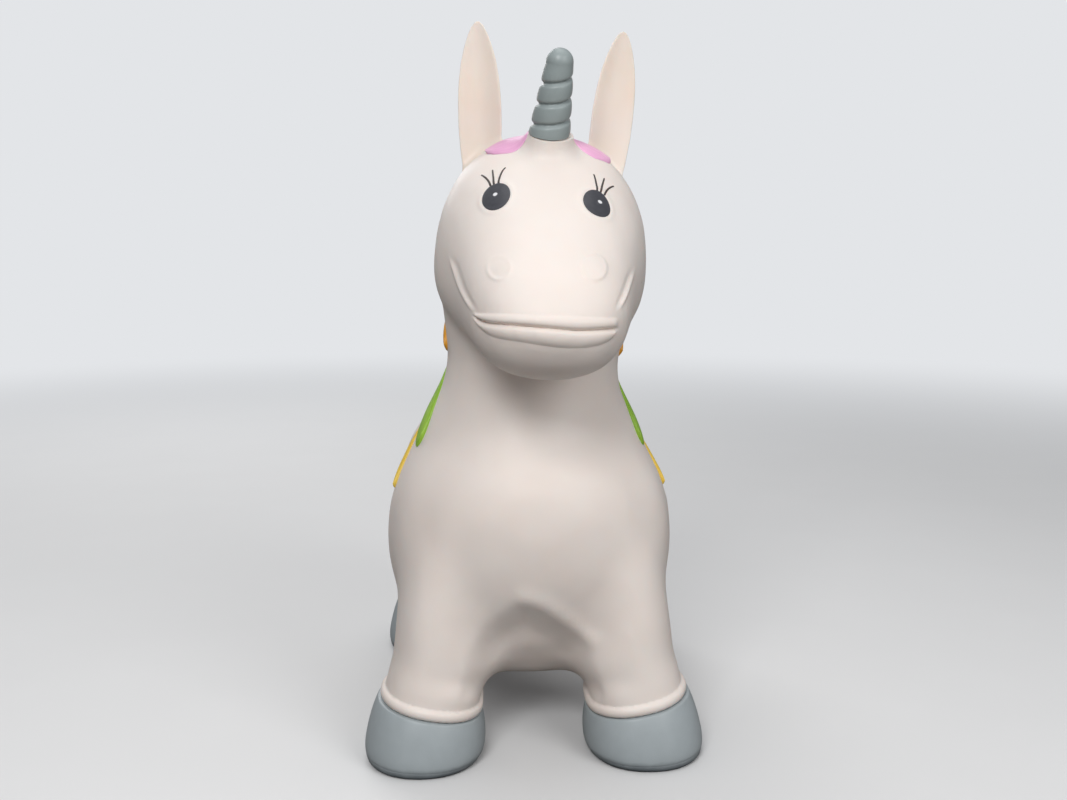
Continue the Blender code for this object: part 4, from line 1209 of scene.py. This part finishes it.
def lash_paint(name, colour):
    """Brushed vinyl paint: thin dark strokes, a little uneven."""
    made, tree, shader, place = new_material(name)
    pale = [c * LASH_SHADE for c in colour]
    tint, _ = mottle(tree, place, STROKE_GRAIN, colour, pale, detail=2.0)
    set_inputs(tree, shader, {"Base Color": tint, "Roughness": 0.45, "IOR": PVC_IOR})
    return made


def eye_points(surface, eye):
    """Where each ring of an eye lies: a low dome over the skin, closed a little beneath it."""
    middle, halves, tilt, narrow = eye[:4]
    c = math.cos(math.radians(tilt))
    s = math.sin(math.radians(tilt))

    def place(share, angle):
        reach = math.sin(math.pi * min(share, 0.5))
        lift = EYE_RISE * math.sqrt(1 - reach**2) + GAP if share < 0.5 else -2 * EYE_RISE
        if share > 0.5:
            reach = 1.5 - share
        along = reach * math.cos(angle)
        side = halves[1] * reach * math.sin(angle) * (1 - narrow * along)
        along *= halves[0]
        on, out = seen_at(
            surface, middle[0] + along * c - side * s, middle[1] - along * s - side * c)
        return on + out * lift

    return place


def lash_points(surface, pixels):
    """Where each ring of a lash lies: a low stroke of paint through three pixels, thick at its
    root and rounded at both ends."""
    (a, _), (b, out), (c, _) = (seen_at(surface, *pixel) for pixel in pixels)
    middle = b * 2 - (a + c) / 2

    def place(share, angle):
        t = 0.5 - math.cos(math.pi * share) / 2
        spot = a * (1 - t) ** 2 + middle * 2 * t * (1 - t) + c * t**2
        way = ((middle - a) * (1 - t) + (c - middle) * t).normalized()
        side = way.cross(out).normalized()
        end = math.sqrt(max(0.0, 1 - (2 * share - 1) ** LASH_BLUNTNESS))
        half = LASH_HALF_WIDTH * (LASH_ROOT_SHARE - LASH_TIP_LOSS * t) * end
        near, up, _, _ = surface.find_nearest(spot + side * half * math.cos(angle))
        return near + up * LASH_HALF_WIDTH / 2 * math.sin(angle) * end

    return place


class UNICORN_OT_eyes(bpy.types.Operator):
    """Model the low oval eyes and their lashes"""

    bl_idname = "unicorn.eyes"
    bl_label = "Eyes"

    def execute(self, context):
        looks = context.scene.unicorn_face
        surface = surface_of(bpy.data.objects["skin"])
        lash_look = lash_paint("brushed_lash_paint", looks.lash)
        for word, details in EYES.items():
            *_, glint, lashes = details
            glint, _ = seen_at(surface, *glint)
            eye = add_tube("painted_eye_" + word, *EYE_MESH, eye_points(surface, details))
            look = eye_paint("stencilled_eye_paint_" + word, looks.eye, looks.glint, glint)
            dress(eye, look, "eye_paint", "animal", "eye_" + word)
            for number, pixels in enumerate(lashes):
                stroke = lash_points(surface, pixels)
                lash = add_tube(f"lash_{word}_{number}", *LASH_MESH, stroke)
                dress(lash, lash_look, "eye_paint", "animal")
        return {"FINISHED"}


def hair_paint(name, colour, edge):
    """Brushed vinyl paint over moulded hair: satin, streaked along the lock, drifting between its
    colour and a deeper edge colour.
    """
    made, tree, shader, place = new_material(name)
    own = add_node(tree, "ShaderNodeTexCoord").outputs["UV"]
    combed = add_node(tree, "ShaderNodeMapping", {"Vector": own, "Scale": STREAKS})
    streaks = add_node(
        tree, "ShaderNodeTexNoise",
        {"Vector": combed.outputs["Vector"], "Scale": 1.0, "Detail": 3.0, "Distortion": 0.6})
    patches = add_node(
        tree, "ShaderNodeTexNoise",
        {"Vector": place, "Scale": 1 / HAIR_PATCH_WIDTH, "Detail": 2.0})
    uneven = add_node(
        tree, "ShaderNodeMath",
        {0: streaks.outputs["Fac"], 1: patches.outputs["Fac"]}, operation="ADD")
    low, high = STREAK_CONTRAST
    share = add_node(
        tree, "ShaderNodeMapRange",
        {"Value": uneven.outputs[0], "From Min": low, "From Max": high})
    tint = add_node(
        tree, "ShaderNodeMix",
        {"Factor": share.outputs["Result"], "A": (*edge, 1), "B": (*colour, 1)},
        data_type="RGBA")
    relief = add_node(
        tree, "ShaderNodeBump",
        {"Height": streaks.outputs["Fac"], "Strength": 0.4, "Distance": STREAK_DEPTH})
    set_inputs(tree, shader, {
        "Base Color": tint.outputs["Result"], "Roughness": 0.42, "IOR": PVC_IOR,
        "Normal": peel(tree, place, PEEL_WIDTH, 0.15, Normal=relief.outputs["Normal"])})
    return made


HAIR_COLOURS = {
    "rose": ("#e9a9d3", "#dd93c6"),
    "pink": ("#f3b9dc", "#e8a9d1"),
    "orange": ("#f0ae3a", "#e39a22"),
    "green": ("#a3cf45", "#8abb2c"),
    "yellow": ("#f3d25a", "#e9c03c"),
}


def lock_on(spot, rise):
    """Lay a tube as a low rounded pad, by spot(along, across), which gives a place and normal."""

    def place(share, angle):
        on, out = spot(share, math.cos(angle))
        s = math.sin(angle)
        return on + out * ((rise if s > 0 else LOCK_ROOT) * s)

    return place


def mane_edge(number, angle):
    """The height of an edge between two locks, at an angle round the neck from its crest."""
    crest, flank = MANE_EDGE_SHARES[number]
    fall = (max(0.0, angle) / (math.pi / 2)) ** LOCK_FALL_SHARE
    return SEAT_HEIGHT + (crest + (flank - crest) * fall) * (CROWN_HEIGHT - SEAT_HEIGHT)


def round_neck(surface, height, angle):
    """The point of the skin seen from this height of the neck's axis."""
    share = (height - SEAT_HEIGHT) / (CROWN_HEIGHT - SEAT_HEIGHT)
    climb = math.radians(between(CREST_CLIMB_SHARES, share))
    axis = Vector((0, NECK_ALONG, height))
    back = math.cos(angle)
    out = Vector((math.sin(angle), back * math.cos(climb), back * math.sin(climb)))
    start = bent_point(axis + out * RAY_RUN)
    return hit(surface, start, bent_point(axis) - start)


def mane_spot(surface, side, number, reach):
    """Where a lock of the mane lies: from the crest of the neck round its side to its tip."""

    def spot(along, across):
        share = math.sin(math.pi / 2 * along)
        angle = LOCK_START + (reach - LOCK_START) * share
        top = mane_edge(number, angle)
        foot = mane_edge(number + 1, angle)
        past = max(0.0, share - 1 + LOCK_ROUND_SHARE) / LOCK_ROUND_SHARE
        half = max(((top - foot) / 2 - GAP) * math.sqrt(1 - past**2), GAP)
        return round_neck(surface, (top + foot) / 2 + half * across, side * angle)

    return spot


def forelock_spot(surface, side):
    """Where a forelock lies on top of the head, from the middle towards an ear."""
    stretch, ahead_by, width = FORELOCK_SIDES[side]

    def middle(share):
        across, along, half = smooth_table(FORELOCK_SHARES, share)
        across = side * across * stretch * HEAD_WIDTH / 2
        along = NAPE_ALONG - (along + ahead_by * share) * HEAD_LENGTH
        return Vector((across, along, ABOVE_HEAD)), half * width * HEAD_WIDTH / 2

    def spot(share, across):
        point, half = middle(share)
        ahead, _ = middle(min(1.0, share + BEND_STEP))
        behind, _ = middle(max(0.0, share - BEND_STEP))
        aside = (ahead - behind).normalized().cross(Z)
        return hit(surface, bent_point(point + aside * half * across), -Z)

    return spot


def tail_spot(surface, column, tip):
    """Where a strand of the tail lies on the rump."""
    root = TAIL_SHARES[0][0]
    edges = [sorted((up, across[column + k]) for up, across in TAIL_SHARES) for k in (0, 1)]

    def spot(share, across):
        up = root + (tip - root) * share
        left, right = (between(edge, up) * TORSO_WIDTH / 2 for edge in edges)
        half = max(((right - left) / 2 - GAP) * (1 - share**3), GAP)
        behind = Vector(((left + right) / 2 + half * across, RAY_RUN, up * SEAT_HEIGHT))
        return hit(surface, bent_point(behind), FRONT)

    return spot


class UNICORN_OT_hair(bpy.types.Operator):
    """Model the forelock, the mane and the tail"""

    bl_idname = "unicorn.hair"
    bl_label = "Hair"

    def execute(self, context):
        surface = surface_of(bpy.data.objects["skin"])
        looks = {
            name: hair_paint("brushed_paint_" + name, linear(main), linear(edge))
            for name, (main, edge) in HAIR_COLOURS.items()
        }
        locks = []
        for word, side in SIDES.items():
            for number, (colour, reach) in enumerate(MANE_LOCKS):
                spot = mane_spot(surface, side, number, math.radians(reach))
                locks.append((f"mane_{colour}_{word}", colour, spot, MANE_LIFT))
            spot = forelock_spot(surface, side)
            locks.append((f"forelock_{word}", "pink", spot, FORELOCK_LIFT))
        for column, (colour, tip) in enumerate(TAIL_TIP_SHARES):
            locks.append((f"tail_{colour}", colour, tail_spot(surface, column, tip), TAIL_LIFT))
        for node, colour, spot, rise in locks:
            lock = add_tube("painted_" + node, *LOCK_MESH, lock_on(spot, rise))
            round_off(lock, 1)
            paint = "pink_paint" if colour == "rose" else colour + "_paint"
            dress(lock, looks[colour], paint, "animal", node)
        return {"FINISHED"}


def valve_plastic(name):
    """Injection-moulded polyethylene: off-white, waxy, with a faint cloudiness."""
    made, tree, shader, place = new_material(name)
    tint, _ = mottle(tree, place, STROKE_GRAIN, *(linear(code) for code in VALVE_COLOURS))
    set_inputs(tree, shader, {"Base Color": tint, "Roughness": 0.35, "IOR": POLYETHYLENE_IOR})
    return made


class UNICORN_OT_valve(bpy.types.Operator):
    """Give the air valve and its plug their material"""

    bl_idname = "unicorn.valve"
    bl_label = "Air valve"

    def execute(self, context):
        look = valve_plastic("moulded_polyethylene")
        for node in ("valve_seat", "air_plug"):
            give(frame["nodes"][node], look)
        return {"FINISHED"}


def mix_into(tree, output, share, first, second):
    """Mix two shaders by the share of the second, and link them to the tree's output."""
    mixed = add_node(
        tree, "ShaderNodeMixShader",
        {0: share.outputs[0], 1: first.outputs[0], 2: second.outputs[0]})
    tree.links.new(mixed.outputs[0], tree.nodes[output].inputs["Surface"])


def floor_paint(name):
    """Matt paint on board: the camera sees it pale and fading into the backdrop, and it sends
    less light back up than it shows."""
    made, tree, shader, place = new_material(name)
    rays = add_node(tree, "ShaderNodeLightPath")
    pale = linear(FLOOR_COLOUR)
    shade = [c * FLOOR_SHADE for c in pale]
    tint, _ = mottle(tree, place, FLOOR_GRAIN, pale, shade, detail=2.0)
    sent = add_node(
        tree, "ShaderNodeMix",
        {"Factor": rays.outputs["Is Camera Ray"], "A": (*linear(FLOOR_BOUNCE_COLOUR), 1),
         "B": tint}, data_type="RGBA")
    set_inputs(tree, shader, {"Base Color": sent.outputs["Result"], "Roughness": 0.8})
    away = add_node(tree, "ShaderNodeVectorMath", {0: place}, operation="LENGTH")
    near, far = FLOOR_FADE
    fade = add_node(
        tree, "ShaderNodeMapRange",
        {"Value": away.outputs["Value"], "From Min": near, "From Max": far},
        interpolation_type="SMOOTHSTEP")
    shown = add_node(
        tree, "ShaderNodeMath", {0: fade.outputs["Result"], 1: rays.outputs["Is Camera Ray"]},
        operation="MULTIPLY")
    backdrop = add_node(tree, "ShaderNodeEmission", {"Color": (*linear(BACKDROP_COLOUR), 1)})
    mix_into(tree, "Material Output", shown, shader, backdrop)
    return made


def studio_world(name):
    """Soft even light all round, which shows itself as the pale backdrop."""
    world = bpy.data.worlds.new(name)
    world.use_nodes = True
    tree = world.node_tree
    rays = add_node(tree, "ShaderNodeLightPath")
    shown = add_node(
        tree, "ShaderNodeMath",
        {0: rays.outputs["Is Camera Ray"], 1: rays.outputs["Is Transmission Ray"]},
        operation="MAXIMUM")
    light = tree.nodes["Background"]
    set_inputs(tree, light, {"Color": (*linear(WORLD_COLOUR), 1), "Strength": WORLD_STRENGTH})
    pale = add_node(tree, "ShaderNodeBackground", {"Color": (*linear(BACKDROP_COLOUR), 1)})
    mix_into(tree, "World Output", shown, light, pale)
    return world


def add_camera(name):
    lens = bpy.data.cameras.new(name)
    lens.sensor_fit = "HORIZONTAL"
    lens.sensor_width = SENSOR_WIDTH
    lens.lens = CAMERA_FOCUS / PHOTO_WIDTH * SENSOR_WIDTH
    camera = bpy.data.objects.new(name, lens)
    camera.matrix_world = camera_axes()
    bpy.context.scene.collection.objects.link(camera)
    bpy.context.scene.camera = camera


class UNICORN_OT_stage(bpy.types.Operator):
    """Set the floor, the lamps, the world and the camera"""

    bl_idname = "unicorn.stage"
    bl_label = "Stage"

    def execute(self, context):
        scene = context.scene
        bpy.ops.object.select_all(action="DESELECT")
        bpy.ops.mesh.primitive_plane_add(size=FLOOR_SIZE, location=(0, 0, 0))
        floor = context.active_object
        floor.name = "floor"
        give(floor, floor_paint("painted_board_floor"))
        for name, (place, size, power) in LAMPS.items():
            lamp = bpy.data.lights.new(name, "AREA")
            lamp.size = size
            lamp.energy = power
            made = bpy.data.objects.new(name, lamp)
            made.location = place
            made.rotation_euler = (LAMP_AIM - Vector(place)).to_track_quat("-Z", "Y").to_euler()
            scene.collection.objects.link(made)
        scene.world = studio_world("studio")
        add_camera("camera")
        scene.view_settings.view_transform = "Standard"
        return {"FINISHED"}


class UNICORN_PT_panel(bpy.types.Panel):
    """Lists the pieces of the unicorn"""

    bl_idname = "UNICORN_PT_panel"
    bl_label = "Unicorn"
    bl_space_type = "VIEW_3D"
    bl_region_type = "UI"
    bl_category = "Unicorn"

    def draw(self, context):
        for operator in OPERATORS:
            self.layout.operator(operator.bl_idname)


GROUPS = {
    "unicorn_skin": UnicornSkin,
    "unicorn_hooves": UnicornHooves,
    "unicorn_horn": UnicornHorn,
    "unicorn_face": UnicornFace,
}
OPERATORS = (
    UNICORN_OT_stage,
    UNICORN_OT_skin,
    UNICORN_OT_hooves,
    UNICORN_OT_horn,
    UNICORN_OT_ears,
    UNICORN_OT_eyes,
    UNICORN_OT_hair,
    UNICORN_OT_valve,
)


def register():
    for group in (*GROUPS.values(), *OPERATORS, UNICORN_PT_panel):
        bpy.utils.register_class(group)
    for name, group in GROUPS.items():
        setattr(bpy.types.Scene, name, bpy.props.PointerProperty(type=group))


def unregister():
    for name in GROUPS:
        delattr(bpy.types.Scene, name)
    for group in (UNICORN_PT_panel, *OPERATORS, *GROUPS.values()):
        bpy.utils.unregister_class(group)


def main():
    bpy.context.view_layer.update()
    register()
    bpy.ops.unicorn.stage()
    bpy.ops.unicorn.skin()
    bpy.ops.unicorn.hooves()
    bpy.ops.unicorn.horn()
    bpy.ops.unicorn.ears()
    bpy.ops.unicorn.eyes()
    bpy.ops.unicorn.hair()
    bpy.ops.unicorn.valve()
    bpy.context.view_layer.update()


if __name__ == "__main__":
    main()
